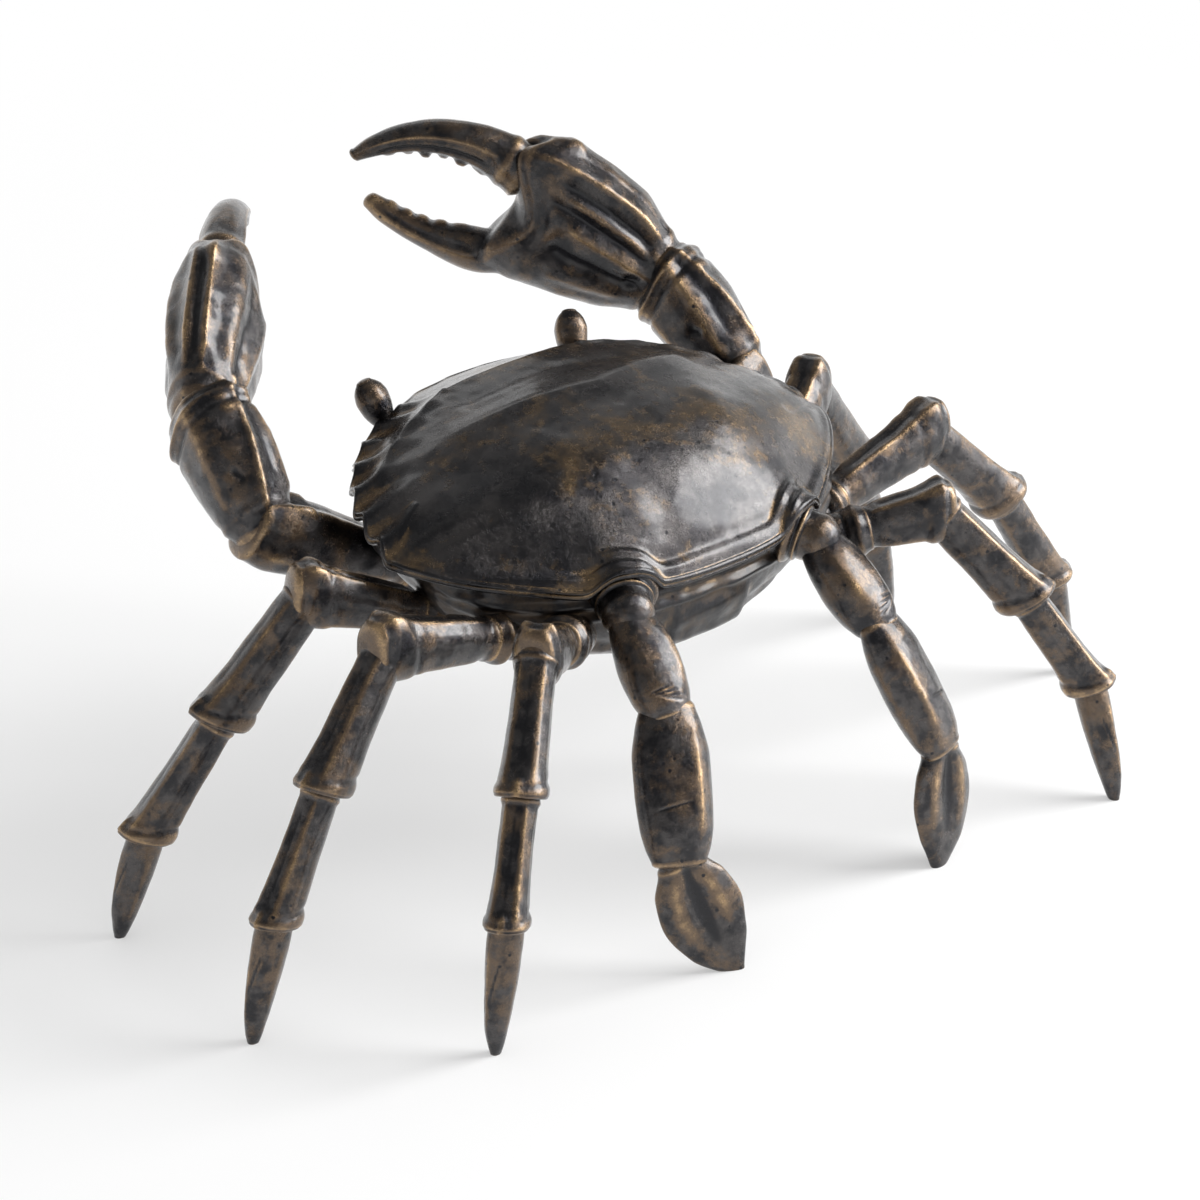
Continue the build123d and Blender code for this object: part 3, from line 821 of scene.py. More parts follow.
@dataclass(frozen=True)
class Fold:
    """A soft ridge on the back, or a dip where its size is negative, along a line between two places (u, v)."""

    start: tuple
    end: tuple
    width: float
    size: float
    power: float = 2.0

    def height(self, u: Array, v: Array) -> Array:
        """Works the fold out: size times e to the minus (distance from the line over the width) to the power.

        Args:
            u: places to the left.
            v: places to the rear.

        Returns:
            Its height at each.
        """
        start, along = np.array(self.start), np.subtract(self.end, self.start)
        span = max(float(along @ along), 1e-9)
        share = np.clip(((u - start[0]) * along[0] + (v - start[1]) * along[1]) / span, 0, 1)
        distance = np.hypot(u - start[0] - share * along[0], v - start[1] - share * along[1])
        return self.size * np.exp(-((distance / self.width) ** self.power))

    def mirrored(self) -> "Fold":
        """The same fold on the other side."""
        return replace(self, start=(-self.start[0], self.start[1]), end=(-self.end[0], self.end[1]))


@dataclass
class Body:
    """The crab's body: the domed back shell with its toothed margin, and the belly bowl under it. Both are drawn in
    a frame pitched about X, where u runs to the left, v to the rear and w up from the plane of the rim."""

    width: float = 150.0
    front: float = 62.0
    rear: float = 44.0
    rise: float = 24.0
    wall: float = 3.0
    rim_height: float = 95.0
    rim_line: float = 13.0
    pitch: float = 11.6
    depth: float = 38.0
    inset: float = 7.0
    flank_share: float = 0.618
    flank_power: float = 1.5
    dome_power: float = 2.4
    dome_blend: float = 18.0
    dome_least: float = 0.02
    # The margin: its brows (side, out), its teeth and how far along each one its crest lies, and its rear, which has
    # come forward by a quarter of its way at a share of its width
    around: int = 480
    brows: tuple = ((0.0, 0.93), (0.085, 0.985), (0.15, 0.93), (0.24, 0.965), (0.31, 0.9), (0.385, 0.875),
                    (0.42, 0.835))
    teeth: int = 7
    tooth_reach: float = 3.0
    crest: float = 0.34
    corner_share: float = 0.84
    quarter_share: float = 0.6
    flank_points: int = 40
    rear_points: int = 30
    rounding: int = 14
    # The shell's edge: its lip with a crease along it, the pleats, the rolls along the rear, where they start as
    # shares of its length, the roll along the flank, how far in the folds and the unevenness fade in, and the grid's
    # rows under the shell, round its lip and over it, which crowd a little towards the middle
    lip: float = 1.3
    lip_crease: tuple = (0.5, 0.34)
    pleat_height: float = 1.25
    pleat_reach: float = 5.5
    pleat_ends: tuple = (0.6, 0.1)
    rear_rolls: tuple = (Ring(1.2, 1.3, 0.75), Ring(4.2, 1.3, -0.75))
    rear_start: tuple = (0.45, 0.75)
    flank_roll: Ring = Ring(0.6, 1.6, 0.7)
    flank_start: tuple = (-6.0, 6.0)
    fold_fade: tuple = (0.5, 7.0)
    rough_fade: tuple = (0.0, 4.0)
    shell_rows: tuple = (22, 15, 150)
    shell_crowding: float = 0.4
    shell_rough: tuple = ((0.16, 9.0, 5), (0.06, 3.0, 6))
    even_folds: tuple = (
        Fold((59, -27), (45, -35), 3.0, 1.9, 1.3), Fold((45, -35), (24, -43), 2.8, 2.1, 1.3),
        Fold((24, -43), (0, -40), 3.4, 1.5, 1.4), Fold((52, -40), (30, -50), 4.0, -1.6),
        Fold((60, -14), (62, 2), 7.0, 0.8), Fold((56, 16), (40, 26), 5.0, -0.9),
        Fold((71, -6), (62, -9), 2.2, 1.2, 3.0), Fold((68, 3), (52, 9), 1.6, -0.7),
        Fold((33, -52), (36, -46), 4.0, 1.3),
    )
    lone_folds: tuple = (
        Fold((38, -20), (-2, -13), 5.0, 1.5, 1.6), Fold((-2, -13), (-34, -18), 5.0, 1.4, 1.6),
        Fold((24, -31), (-20, -27), 5.0, -1.2), Fold((48, -9), (40, 2), 9.0, -1.1),
        Fold((-47, -10), (-38, 2), 9.0, -0.9), Fold((27, 2), (20, 14), 6.0, 0.7),
        Fold((-26, 3), (-22, 15), 6.0, 0.7), Fold((12, 20), (14, 34), 5.0, -0.5),
    )
    # The paddle hips and the hood over each, which sinks at its inner end and is blended into the shell
    hip_heading: float = 60.0
    hip_pitch: float = -15.0
    hip_place: tuple = (0.405, 0.86, 0.06)
    hood_radius: float = 10.2
    hood_fall: float = 1.1
    hood_sink: float = 6.0
    hood_ends: tuple = (-17.0, -5.0)
    hood_blend: float = 1.2
    hood_rings: tuple = (Ring(-8.2, 1.2, 1.0), Ring(-4.4, 1.2, 1.1), Ring(-0.8, 1.0, 0.8))
    # The belly: (share down, side, front and rear shares), the grid's rows at its bottom, up its side and over the
    # lid inside the shell, where the side starts and ends, and the lid's sizes
    bowl: tuple = ((-0.34, 1.0, 1.0, 1.0), (0.0, 1.0, 1.0, 1.0), (0.28, 0.94, 0.98, 1.1), (0.54, 0.8, 0.92, 1.06),
                   (0.8, 0.58, 0.76, 0.74), (1.0, 0.34, 0.44, 0.4))
    bowl_around: int = 300
    bowl_rows: tuple = (14, 90, 16)
    bowl_power: float = 0.9
    bowl_close: float = 0.97
    bowl_top: float = -0.02
    bowl_round: tuple = (66.0, 50.0, 42.0)
    bowl_middle: float = -6.0
    bowl_rough: tuple = ((0.45, 8.0, 11), (0.25, 3.0, 12))
    bottom_drop: float = 1.5
    lid_gap: float = 0.6
    lid_climb: float = 30.0
    # Its relief: a pair says where along v, across u or down w a part fades in, plates and grooves are (spacing,
    # width, depth), a bend is how far they slant, and sockets are places (v, w)
    rolls: tuple = (Ring(-4.6, 1.1, 1.0), Ring(-8.0, 1.1, 1.0))
    rolls_v: tuple = (0.0, 24.0)
    flap_v: tuple = (-16.0, 4.0)
    flap_u: tuple = (8.5, 11.0)
    flap_w: tuple = (-9.0, -13.0)
    flap_taper: float = 0.12
    flap_waist: float = 10.0
    flap_height: float = 1.3
    plates: tuple = (8.0, 0.8, 0.8)
    plate_bend: float = -0.35
    grooves: tuple = (15.0, 1.0, 0.9)
    groove_bend: float = 0.25
    groove_start: float = 40.0
    groove_u: tuple = (8.0, 16.0)
    groove_w: tuple = (-10.0, -20.0)
    middle: Ring = Ring(0.0, 1.2, -0.9)
    middle_v: tuple = (-14.0, -6.0)
    middle_w: tuple = (-14.0, -20.0)
    sockets: tuple = ((-26.0, -14.0), (7.0, -14.0), (22.0, -14.0), (34.0, -14.0))
    socket_u: tuple = (34.0, 50.0)
    socket_spread: float = 60.0
    socket_height: float = 1.8
    eye_place: tuple = (0.43, -0.82, 0.08)
    eye_aim: tuple = (-60.0, 62.0, 17.0)
    # An egg on a short stalk, tilted out over the brow
    eye: Casting = Casting(
        7.4, 7.4,
        ((0.0, 0.92, 0.92), (0.18, 0.80, 0.80), (0.32, 0.92, 0.92), (0.48, 1.14, 1.12), (0.66, 1.22, 1.18),
         (0.8, 1.06, 1.04), (0.9, 0.80, 0.78), (0.95, 0.56, 0.56)),
        (Mark(0.72, 190, 0.5, 0.5, -0.5), Band(0.26, 1.0, -0.3), Ridge(150, 26, 0.35, 0.4, 0.95)),
        Ending.TIP, head=5.0, cap=0.8, worked=0.12, seed=3,
    )

    def point(self, u: Array, v: Array, w: Array) -> Array:
        """Turns places of the pitched body frame into the building frame.

        Args:
            u: places to the left.
            v: places to the rear.
            w: places over the rim plane.

        Returns:
            The points.
        """
        c, s = np.cos(np.radians(self.pitch)), np.sin(np.radians(self.pitch))
        y, z = -self.rim_line + v * c + w * s, self.rim_height - v * s + w * c
        return np.stack(np.broadcast_arrays(u, y, z), -1)

    def spot(self, shares: tuple) -> Array:
        """A point on the body from shares of its half width, its front or rear length and its depth."""
        length = self.rear if shares[1] > 0 else self.front
        return self.point(shares[0] * self.width / 2, shares[1] * length, -shares[2] * self.depth)

    def hip_axis(self, reach: float) -> Axis:
        """The axis of the left paddle leg's hip."""
        return Axis.aimed(self.spot(self.hip_place), self.hip_heading, self.hip_pitch, reach)

    def eye_axis(self) -> Axis:
        """The axis of the left eye, from its heading, pitch and length."""
        return Axis.aimed(self.spot(self.eye_place), *self.eye_aim)

    def flank(self, v: Array) -> Array:
        """Half the shell's width behind its widest line: it draws in with a power of the way to the rear."""
        return self.width / 2 * (1 - self.flank_share * (np.clip(v, 0, self.rear) / self.rear) ** self.flank_power)

    def teeth_start(self) -> float:
        """The angle round the body, from the face, at which the margin's teeth begin."""
        return np.arcsin(self.brows[-1][0])

    def dome(self, u: Array, v: Array) -> Array:
        """Height of the back over its rim: in front, one less the elliptical reach to a power, and behind, one less
        the share across to a power times one less the share along to that power, blended across the widest line.

        Args:
            u: places to the left.
            v: places to the rear.

        Returns:
            The height at each.
        """
        half = self.width / 2
        before = 1 - np.hypot(u / half, v / self.front) ** self.dome_power
        across = 1 - (np.abs(u) / self.flank(v)) ** self.dome_power
        behind = across * np.clip(1 - (np.abs(v) / self.rear) ** self.dome_power, self.dome_least, 1)
        share = step(-self.dome_blend, self.dome_blend, v)
        return self.rise * np.maximum(before + (behind - before) * share, -self.dome_least)

    def margin(self) -> Array:
        """The outline's reach at equal angles round the body: the toothed front, the flank and the rear margin as
        one line of points, read off by angle and rounded by a short running mean.

        Returns:
            The reach at each angle.
        """
        half, start = self.width / 2, self.teeth_start()
        line = [(side * half, -out * self.front) for side, out in self.brows]
        for i in range(self.teeth):
            for part, scale in ((self.crest, 1.0), (1.0, 1 - self.tooth_reach / half)):
                a = start + (np.pi / 2 - start) * (i + part) / self.teeth
                scale = 1.0 if i == self.teeth - 1 and part == 1.0 else scale
                line.append((half * np.sin(a) * scale, -self.front * np.cos(a) * scale))
        corner = self.corner_share * self.rear
        v = np.linspace(0.3, corner, self.flank_points)
        line += list(zip(self.flank(v), v))
        edge = float(self.flank(np.array(corner)))
        power = np.log(4) / np.log(1 / self.quarter_share)
        u = np.linspace(edge, 0, self.rear_points)[1:]
        line += list(zip(u, self.rear * (1 - (1 - self.corner_share) * (u / edge) ** power)))
        x, y = np.array(line).T
        grid = turns(self.around)
        reach = np.interp(np.minimum(grid, TAU - grid), np.arctan2(x, -y), np.hypot(x, y))
        for _ in range(self.rounding):
            reach = (np.roll(reach, 1) + 2 * reach + np.roll(reach, -1)) / 4
        return reach

    def pleats(self, near: Array, turn: Array) -> Array:
        """The pleats that run in from the margin's teeth: a cosine of the place among the teeth, times e to the
        minus distance in.

        Args:
            near: distance in from the margin.
            turn: angle from the face round to the left or right, from nought to pi.

        Returns:
            Their height at each place.
        """
        phase = (turn - self.teeth_start()) / (np.pi / 2 - self.teeth_start()) * self.teeth
        fade, past = self.pleat_ends
        toothed = step(0, fade, phase) * (1 - step(self.teeth - fade, self.teeth + past, phase))
        return toothed * self.pleat_height * (np.cos(TAU * (phase - self.crest)) * np.exp(-near / self.pleat_reach))

    def hood(self, u: Array, v: Array) -> Array:
        """The ringed hood over each paddle hip: a tube along the hip's axis, whose top falls off to its sides with
        e to the minus cube of the distance over its radius.

        Args:
            u: places to the left.
            v: places to the rear.

        Returns:
            Its height over the rim plane.
        """
        side, back, down = self.hip_place
        heading = np.radians(self.hip_heading)
        ahead, across = np.sin(heading), np.cos(heading)
        x, y = np.abs(u) - side * self.width / 2, v - back * self.rear
        along, off = x * across + y * ahead, x * ahead - y * across
        fall = np.tan(np.radians(self.hip_pitch)) + ahead * np.tan(np.radians(self.pitch))
        radius = self.hood_radius + sum(ring.height(along) for ring in self.hood_rings)
        tube = -down * self.depth + along * fall + radius * np.exp(-self.hood_fall * np.abs(off / radius) ** 3)
        return tube - self.hood_sink * (1 - step(*self.hood_ends, along))

    def back_height(self, u: Array, v: Array, near: Array, turn: Array) -> Array:
        """The back's finished height: the dome, the highest and the deepest of its folds, the pleats, the rolls
        along the rear and the flank, and the two hoods, joined on by a smooth maximum.

        Args:
            u: places to the left.
            v: places to the rear.
            near: distance in from the margin.
            turn: angle from the face round to the left or right, from nought to pi.

        Returns:
            Height over the rim plane.
        """
        folds = (*self.even_folds, *(fold.mirrored() for fold in self.even_folds), *self.lone_folds)
        shapes = np.stack([fold.height(u, v) for fold in folds])
        folded = np.maximum(shapes.max(axis=0), 0) + np.minimum(shapes.min(axis=0), 0)
        height = self.dome(u, v) + folded * step(*self.fold_fade, near) + self.pleats(near, turn)
        rearward = step(*(share * self.rear for share in self.rear_start), v)
        rolled = sum(roll.height(near) for roll in self.rear_rolls)
        flankward = step(*self.flank_start, v) * (1 - rearward)
        height = height + rearward * rolled + flankward * self.flank_roll.height(near)
        tube, blend = self.hood(u, v), self.hood_blend
        top = np.maximum(height, tube)
        return top + blend * np.log(np.exp((height - top) / blend) + np.exp((tube - top) / blend))

    def back(self) -> Array:
        """The back shell as a closed grid: its underside from the middle out, a lip rolled twice round its edge, and
        its top from the edge in. Every row is the margin's outline drawn in by one share.

        Returns:
            The grid in the building frame.
        """
        under_rows, lip_rows, over_rows = self.shell_rows
        turn = turns(self.around)
        outward = np.stack([np.sin(turn), -np.cos(turn)], -1)[::-1]
        reach, folded = (self.margin() - self.lip)[::-1], np.minimum(turn, TAU - turn)[::-1]
        t, crowding = np.linspace(0, 1, over_rows), self.shell_crowding
        over = ((1 - crowding) * t + crowding * t * (2 - t))[::-1]
        rows = []
        for share, wall in ((np.linspace(0, 1, under_rows), self.wall), (over, 0)):
            u, v = (share[:, None] * reach * outward[:, k] for k in (0, 1))
            near = (1 - share)[:, None] * reach
            w = self.back_height(u, v, near, folded)
            spots = np.stack([u, v, w], -1)
            rough = sum(size * lumps(spots, wide, seed) for size, wide, seed in self.shell_rough)
            rows.append(self.point(u, v, w + rough * step(*self.rough_fade, near) - wall))
        psi = np.linspace(np.pi, 0, lip_rows)[1:-1, None]
        crease, spread = self.lip_crease
        out = self.lip * np.sin(psi) * (1 - crease * bell(psi, np.pi / 2, spread))
        u, v = reach * outward[:, 0], reach * outward[:, 1]
        top = self.back_height(u, v, np.zeros_like(reach), folded)
        lip = self.point(u + out * outward[:, 0], v + out * outward[:, 1], top - self.wall / 2 * (1 - np.cos(psi)))
        return np.concatenate([rows[0], lip, rows[1]])

    def belly_relief(self, u: Array, v: Array, w: Array) -> Array:
        """The belly's relief: rolled bands under the rear rim, the tail flap and its plates, the chest's grooves and
        its middle line, and a swelling round each socket.

        Args:
            u: places to the left.
            v: places to the rear.
            w: places over the rim plane.

        Returns:
            Its height at each.
        """
        side = np.abs(u)
        bands = sum(roll.height(w) for roll in self.rolls) * step(*self.rolls_v, v)
        flap = step(*self.flap_v, v) * (1 - step(*self.flap_u, side - self.flap_taper * (v - self.flap_waist)))
        flap = flap * step(*self.flap_w, w)
        pitch, wide, deep = self.plates
        cuts = bell(np.mod(v + self.plate_bend * w, pitch), pitch / 2, wide)
        plates = self.flap_height * flap - deep * flap * cuts
        pitch, wide, deep = self.grooves
        cuts = bell(np.mod(v + self.groove_bend * side + self.groove_start, pitch), pitch / 2, wide)
        grooves = -deep * (1 - flap) * step(*self.groove_w, w) * cuts * step(*self.groove_u, side)
        middle = (1 - step(*self.middle_v, v)) * self.middle.height(u) * step(*self.middle_w, w)
        swells = sum(np.exp(-(((v - y) ** 2 + (w - z) ** 2) / self.socket_spread)) for y, z in self.sockets)
        return bands + plates + grooves + middle + self.socket_height * swells * step(*self.socket_u, side)

    def belly(self) -> Array:
        """The belly bowl as a closed grid from its lowest point up to the lid inside the shell: a rounded outline
        whose half sizes follow the bowl's stations, and the relief on it.

        Returns:
            The grid in the building frame.
        """
        knots = np.array(self.bowl)
        turn = turns(self.bowl_around)
        c, s = np.cos(turn), np.sin(turn)
        low_rows, side_rows, lid_rows = self.bowl_rows
        down = np.concatenate([np.full(low_rows, 1.0), np.linspace(1.0, self.bowl_top, side_rows)])
        closing = np.concatenate([np.linspace(0, self.bowl_close, low_rows), np.ones(side_rows)])[:, None]
        half, fore, back = (monotone(down, knots[:, 0], knots[:, k])[:, None] for k in (1, 2, 3))
        u = closing * half * (self.width / 2 - self.inset) * np.sign(s) * np.abs(s) ** self.bowl_power
        long = np.where(c > 0, back * (self.rear - self.inset), fore * (self.front - self.inset))
        v = closing * long * np.sign(c) * np.abs(c) ** self.bowl_power
        w = -down[:, None] * self.depth - self.bottom_drop * (1 - closing**2) + 0 * u
        spots = np.stack([u, v, w], -1)
        out = unit(np.stack([u, v, w - self.bowl_middle], -1) / np.square(self.bowl_round) + 1e-9)
        rough = sum(size * lumps(spots, wide, seed) for size, wide, seed in self.bowl_rough)
        moved = spots + out * ((self.belly_relief(u, v, w) + rough) * closing)[..., None]
        share = np.linspace(1, 0, lid_rows)[1:, None]
        lid_u, lid_v = share * moved[-1, :, 0], share * moved[-1, :, 1]
        lid_w = np.minimum(self.dome(lid_u, lid_v) - self.wall - self.lid_gap, self.rise)
        lid_w = np.minimum(lid_w, moved[-1, :, 2] + (1 - share) * self.lid_climb)
        grid = np.concatenate([moved, np.stack([lid_u, lid_v, lid_w], -1)])
        grid[0] = grid[0].mean(axis=0)
        return self.point(grid[..., 0], grid[..., 1], grid[..., 2])


def even_ridges(angles: Iterable[float], *sizes: float, **more: float) -> tuple:
    """The same lengthwise ridge at several angles round a casting."""
    return tuple(Ridge(angle, *sizes, **more) for angle in angles)


def bell_link(width: float, height: float, flare: float, seed: int) -> Casting:
    """A shin or ankle: slightly waisted, with two ridges down its back, flaring into a slanted bell collar whose
    upper corner is pointed.

    Args:
        width: its width.
        height: its height.
        flare: the collar's size as a share of them.
        seed: what tells its unevenness from the limb's others.

    Returns:
        The casting.
    """
    stations = ((0.0, 0.90, 0.86), (0.1, 0.84, 0.80), (0.3, 0.85, 0.83), (0.65, 0.90, 0.87), (0.86, 0.98, 0.96),
                (0.955, flare, flare), (0.985, flare, flare), (1.0, 1.05, 1.05))
    reliefs = (
        *even_ridges((58, 122), 13, 0.5, 0.0, 1.0), *even_ridges((0, 180), 18, -0.25, 0.1, 0.9),
        *even_ridges((235, 305), 16, 0.35, 0.0, 1.0), Ridge(90, 14, -0.25, 0.1, 0.85),
        Ridge(90, 12, 0.9, 0.84, 1.3, 0, 1.2, 0.1), Band(0.9, 1.0, -0.3, 1.6), Band(0.05, 0.8, 0.4),
    )
    return Casting(width, height, stations, reliefs, Ending.MOUTH, lip=0.6, cup=1.4, lean=2.0, worked=0.2, rows=92,
                   around=68, seed=seed)


# Each claw's palm: angle, spread, size, start, end, drift and power of every crest and groove along it
FLUTES = {
    Side.RIGHT: (
        (127, 9, 1.7, 0.04, 1.0, 4, 1.2), (109, 8, -0.5, 0.1, 0.8, 2), (148, 6, -1.0, 0.05, 0.85, -4),
        (158, 4, 0.7, 0.1, 0.75, -6, 1.2), (167, 5, -0.9, 0.08, 0.9, -8), (181, 7, 1.5, 0.02, 0.72, -10, 1.2),
        (196, 8, -1.5, 0.04, 0.8, -6, 1.8), (213, 6, 0.6, 0.1, 0.7, 10, 1.2), (224, 7, -0.5, 0.15, 0.6, 8),
        (72, 9, 0.9, 0.05, 0.98, 8, 1.2), (56, 9, -0.8, 0.08, 0.85, 6), (36, 10, 0.9, 0.1, 0.9, 4, 1.2),
        (12, 9, -0.9, 0.1, 0.8, -2), (-8, 10, 0.8, 0.1, 0.95, -8, 1.2), (-28, 9, -0.8, 0.1, 0.8, 0),
    ),
    Side.LEFT: (
        (98, 7, 1.9, 0.02, 1.0, -3, 1.1), (84, 6, -0.9, 0.1, 0.85, 2), (70, 7, 1.3, 0.05, 0.95, 6, 1.2),
        (52, 12, -1.0, 0.1, 0.85, 4, 2.2), (34, 7, 0.9, 0.2, 0.9, 2, 1.2), (14, 12, -0.8, 0.1, 0.8, 0, 2.2),
        (-10, 9, 0.9, 0.1, 0.95, -6, 1.2), (116, 12, -0.7, 0.1, 0.85, -4, 2.0), (137, 10, 0.5, 0.08, 0.9, -4, 1.8),
        (152, 10, -1.1, 0.1, 0.8, 2, 2.0), (172, 8, 1.1, 0.06, 0.9, 8, 1.2), (192, 9, -1.0, 0.1, 0.8, 8),
        (212, 8, 0.7, 0.1, 0.8, 8, 1.2),
    ),
}


@dataclass
class Claw:
    """A claw: shoulder, arm, wrist, palm with its fixed finger, and the finger that moves on a live crab. Its angles
    are a heading and a pitch for each casting from the shoulder to the palm."""

    side: Side
    angles: tuple
    flutes: tuple
    seed: int
    place_shares: tuple = (0.38, -0.4, 0.86)
    shoulder_length: float = 15.0
    arm_length: float = 45.0
    wrist_length: float = 35.5
    palm_length: float = 47.0
    palm_roll: float = 3.0
    finger_length: float = 48.0
    finger_rise: float = 9.5
    finger_turn: float = -23.5
    fixed_length: float = 47.0
    fixed_drop: float = 12.5
    fixed_root: float = 12.0
    fixed_turn: float = -8.0
    lean: float = 2.5
    melt_cell: float = 0.5
    crease_drop: float = 6.0
    crease_back: float = 2.0
    # A short ringed stub at the body
    shoulder: Casting = Casting(
        17.0, 17.0, ((0.0, 0.8, 0.8), (0.5, 0.96, 0.96), (0.95, 1.0, 1.0), (1.12, 0.86, 0.86)),
        (Band(0.8, 1.2, 0.6), Band(0.55, 0.9, -0.5)), head=6.0, cap=2.0, worked=0.3,
    )
    # The long upper joint, angular, with a notched hood at the elbow
    arm: Casting = Casting(
        18.0, 19.5, ((0.0, 0.74, 0.60), (0.3, 0.9, 0.74), (0.7, 1.0, 0.94), (0.93, 0.98, 0.98), (1.08, 0.82, 0.84)),
        (*even_ridges((62, 118), 13, 0.8, 0.15, 1.2), *even_ridges((205, 335), 14, 0.7, 0.1, 1.1),
         Ridge(90, 11, -0.6, 0.3, 1.15), Mark(0.93, 92, 4.5, 1.4, -1.2, 68), Mark(0.84, 118, 3.0, 2.0, 1.0),
         Mark(0.86, 60, 3.0, 2.0, 1.0), Mark(0.62, 150, 2.2, 1.0, -0.8, 30), Mark(0.66, 165, 1.4, 0.9, -0.7, -30),
         Band(0.08, 1.1, 0.5)),
        head=6.0, cap=2.4, lean=-1.0, square=2.7, worked=0.34, rows=110, around=84, seed=1,
    )
    # A wedge with a sharp upper corner, a rim before the palm and a facet down its back
    wrist: Casting = Casting(
        21.5, 24.0, ((0.0, 0.76, 0.62), (0.25, 0.03, 0.98, 0.86), (0.6, 0.05, 1.04, 0.98), (0.86, 0.03, 0.99, 0.95),
                     (1.0, 0.01, 0.84, 0.84)),
        (Ridge(78, 9, 2.0, 0.0, 1.15, 30, 1.0), Ridge(150, 13, 1.0, 0.1, 1.1, -16, 1.2),
         Ridge(205, 13, 0.8, 0.15, 1.1), Ridge(118, 16, -0.8, 0.2, 1.0), Ridge(20, 15, 0.8, 0.1, 1.1, 14),
         Ridge(310, 14, 0.7, 0.1, 1.1),
         Band(0.9, 1.1, 0.9, 2.2), Band(0.8, 1.0, -0.6, 2.2), Mark(0.86, 88, 3.6, 3.2, 1.6),
         Mark(0.45, 160, 2.0, 1.3, -0.8, 40), Mark(0.36, 60, 2.2, 1.4, -0.7, -30), Band(0.1, 1.4, 0.5)),
        head=6.0, cap=2.6, lean=2.2, square=2.7, worked=0.3, rows=110, around=90, seed=2,
    )
    # Fluted lengthwise, each claw in its own way, with a lipped V of a rim round the finger's root
    palm: Casting = Casting(
        25.0, 42.5, ((0.0, 0.66, 0.5), (0.1, 0.76, 0.62), (0.3, 0.02, 0.9, 0.82), (0.6, 0.03, 0.99, 0.95),
                     (0.84, 0.02, 0.93, 1.0), (0.97, 0.80, 0.94), (1.0, -0.01, 0.76, 0.90)),
        (Band(0.97, 1.5, 0.7), Band(0.88, 1.4, -0.3), Mark(0.86, 92, 5.5, 4.6, 1.5), Band(0.05, 1.3, 0.5),
         Mark(0.16, 190, 2.2, 1.6, -1.0, 30), Mark(0.1, 150, 1.6, 1.2, 0.8, -30), Mark(0.13, 100, 2.0, 1.3, -0.8)),
        Ending.MOUTH, head=6.0, lip=0.9, cup=2.6,
        rim=((92, 20, -2.0), (128, 24, 3.2), (184, 26, -6.5), (52, 24, 2.4), (-4, 26, -5.0)),
        square=2.2, worked=0.4, rows=150, around=150, seed=3,
    )
    # Bowed down and hooked up at its tip, with low lumpy teeth
    fixed: Casting = Casting(
        13.0, 17.0, ((0.0, 0.1, 0.9, 0.7), (0.3, 0.9, 0.74), (0.6, 0.72, 0.48), (0.88, 0.02, 0.5, 0.36),
                     (0.97, 0.04, 0.38, 0.28)),
        (*even_ridges((15, 165), 12, -0.5, 0.25, 0.95), *even_ridges((190, 350), 14, 0.5, 0.2, 1.0),
         Ridge(90, 20, -0.5, 0.3, 0.9), Mark(0.42, 90, 2.4, 1.7, 0.9), Mark(0.54, 90, 2.0, 1.7, 1.3),
         Mark(0.65, 90, 1.9, 1.7, 1.2), Mark(0.75, 90, 1.6, 1.7, 1.0), Mark(0.85, 90, 1.4, 1.7, 0.6)),
        Ending.TIP, head=3.0, arch=-3.5, worked=0.2, rows=110, around=64, seed=4,
    )
    # Smooth over its back, grooved along its flank, with uneven teeth inside
    finger: Casting = Casting(
        11.0, 13.5, ((0.0, -0.06, 1.16, 1.16), (0.12, -0.02, 1.11, 1.02), (0.3, 1.0, 0.86), (0.6, 0.82, 0.64),
                     (0.88, -0.03, 0.58, 0.40), (0.965, -0.06, 0.44, 0.26)),
        (*even_ridges((208, 332), 12, -0.8, 0.12, 0.9, 0, 2.0), Ridge(172, 9, 0.6, 0.1, 0.95, -6, 1.2),
         Ridge(8, 9, 0.6, 0.1, 0.95, 6, 1.2), Ridge(270, 22, -0.5, 0.15, 0.9), Band(0.1, 1.4, 0.5),
         Mark(0.06, 200, 4.0, 3.5, 1.0), Mark(0.22, 274, 2.6, 1.6, 1.2), Mark(0.34, 266, 2.2, 1.6, 1.9),
         Mark(0.46, 274, 1.8, 1.6, 1.6), Mark(0.575, 268, 1.9, 1.6, 2.0), Mark(0.68, 273, 1.5, 1.6, 1.3),
         Mark(0.79, 270, 1.6, 1.6, 0.9)),
        Ending.TIP, head=6.0, cap=1.5, arch=7.2, rows=130, seed=5,
    )

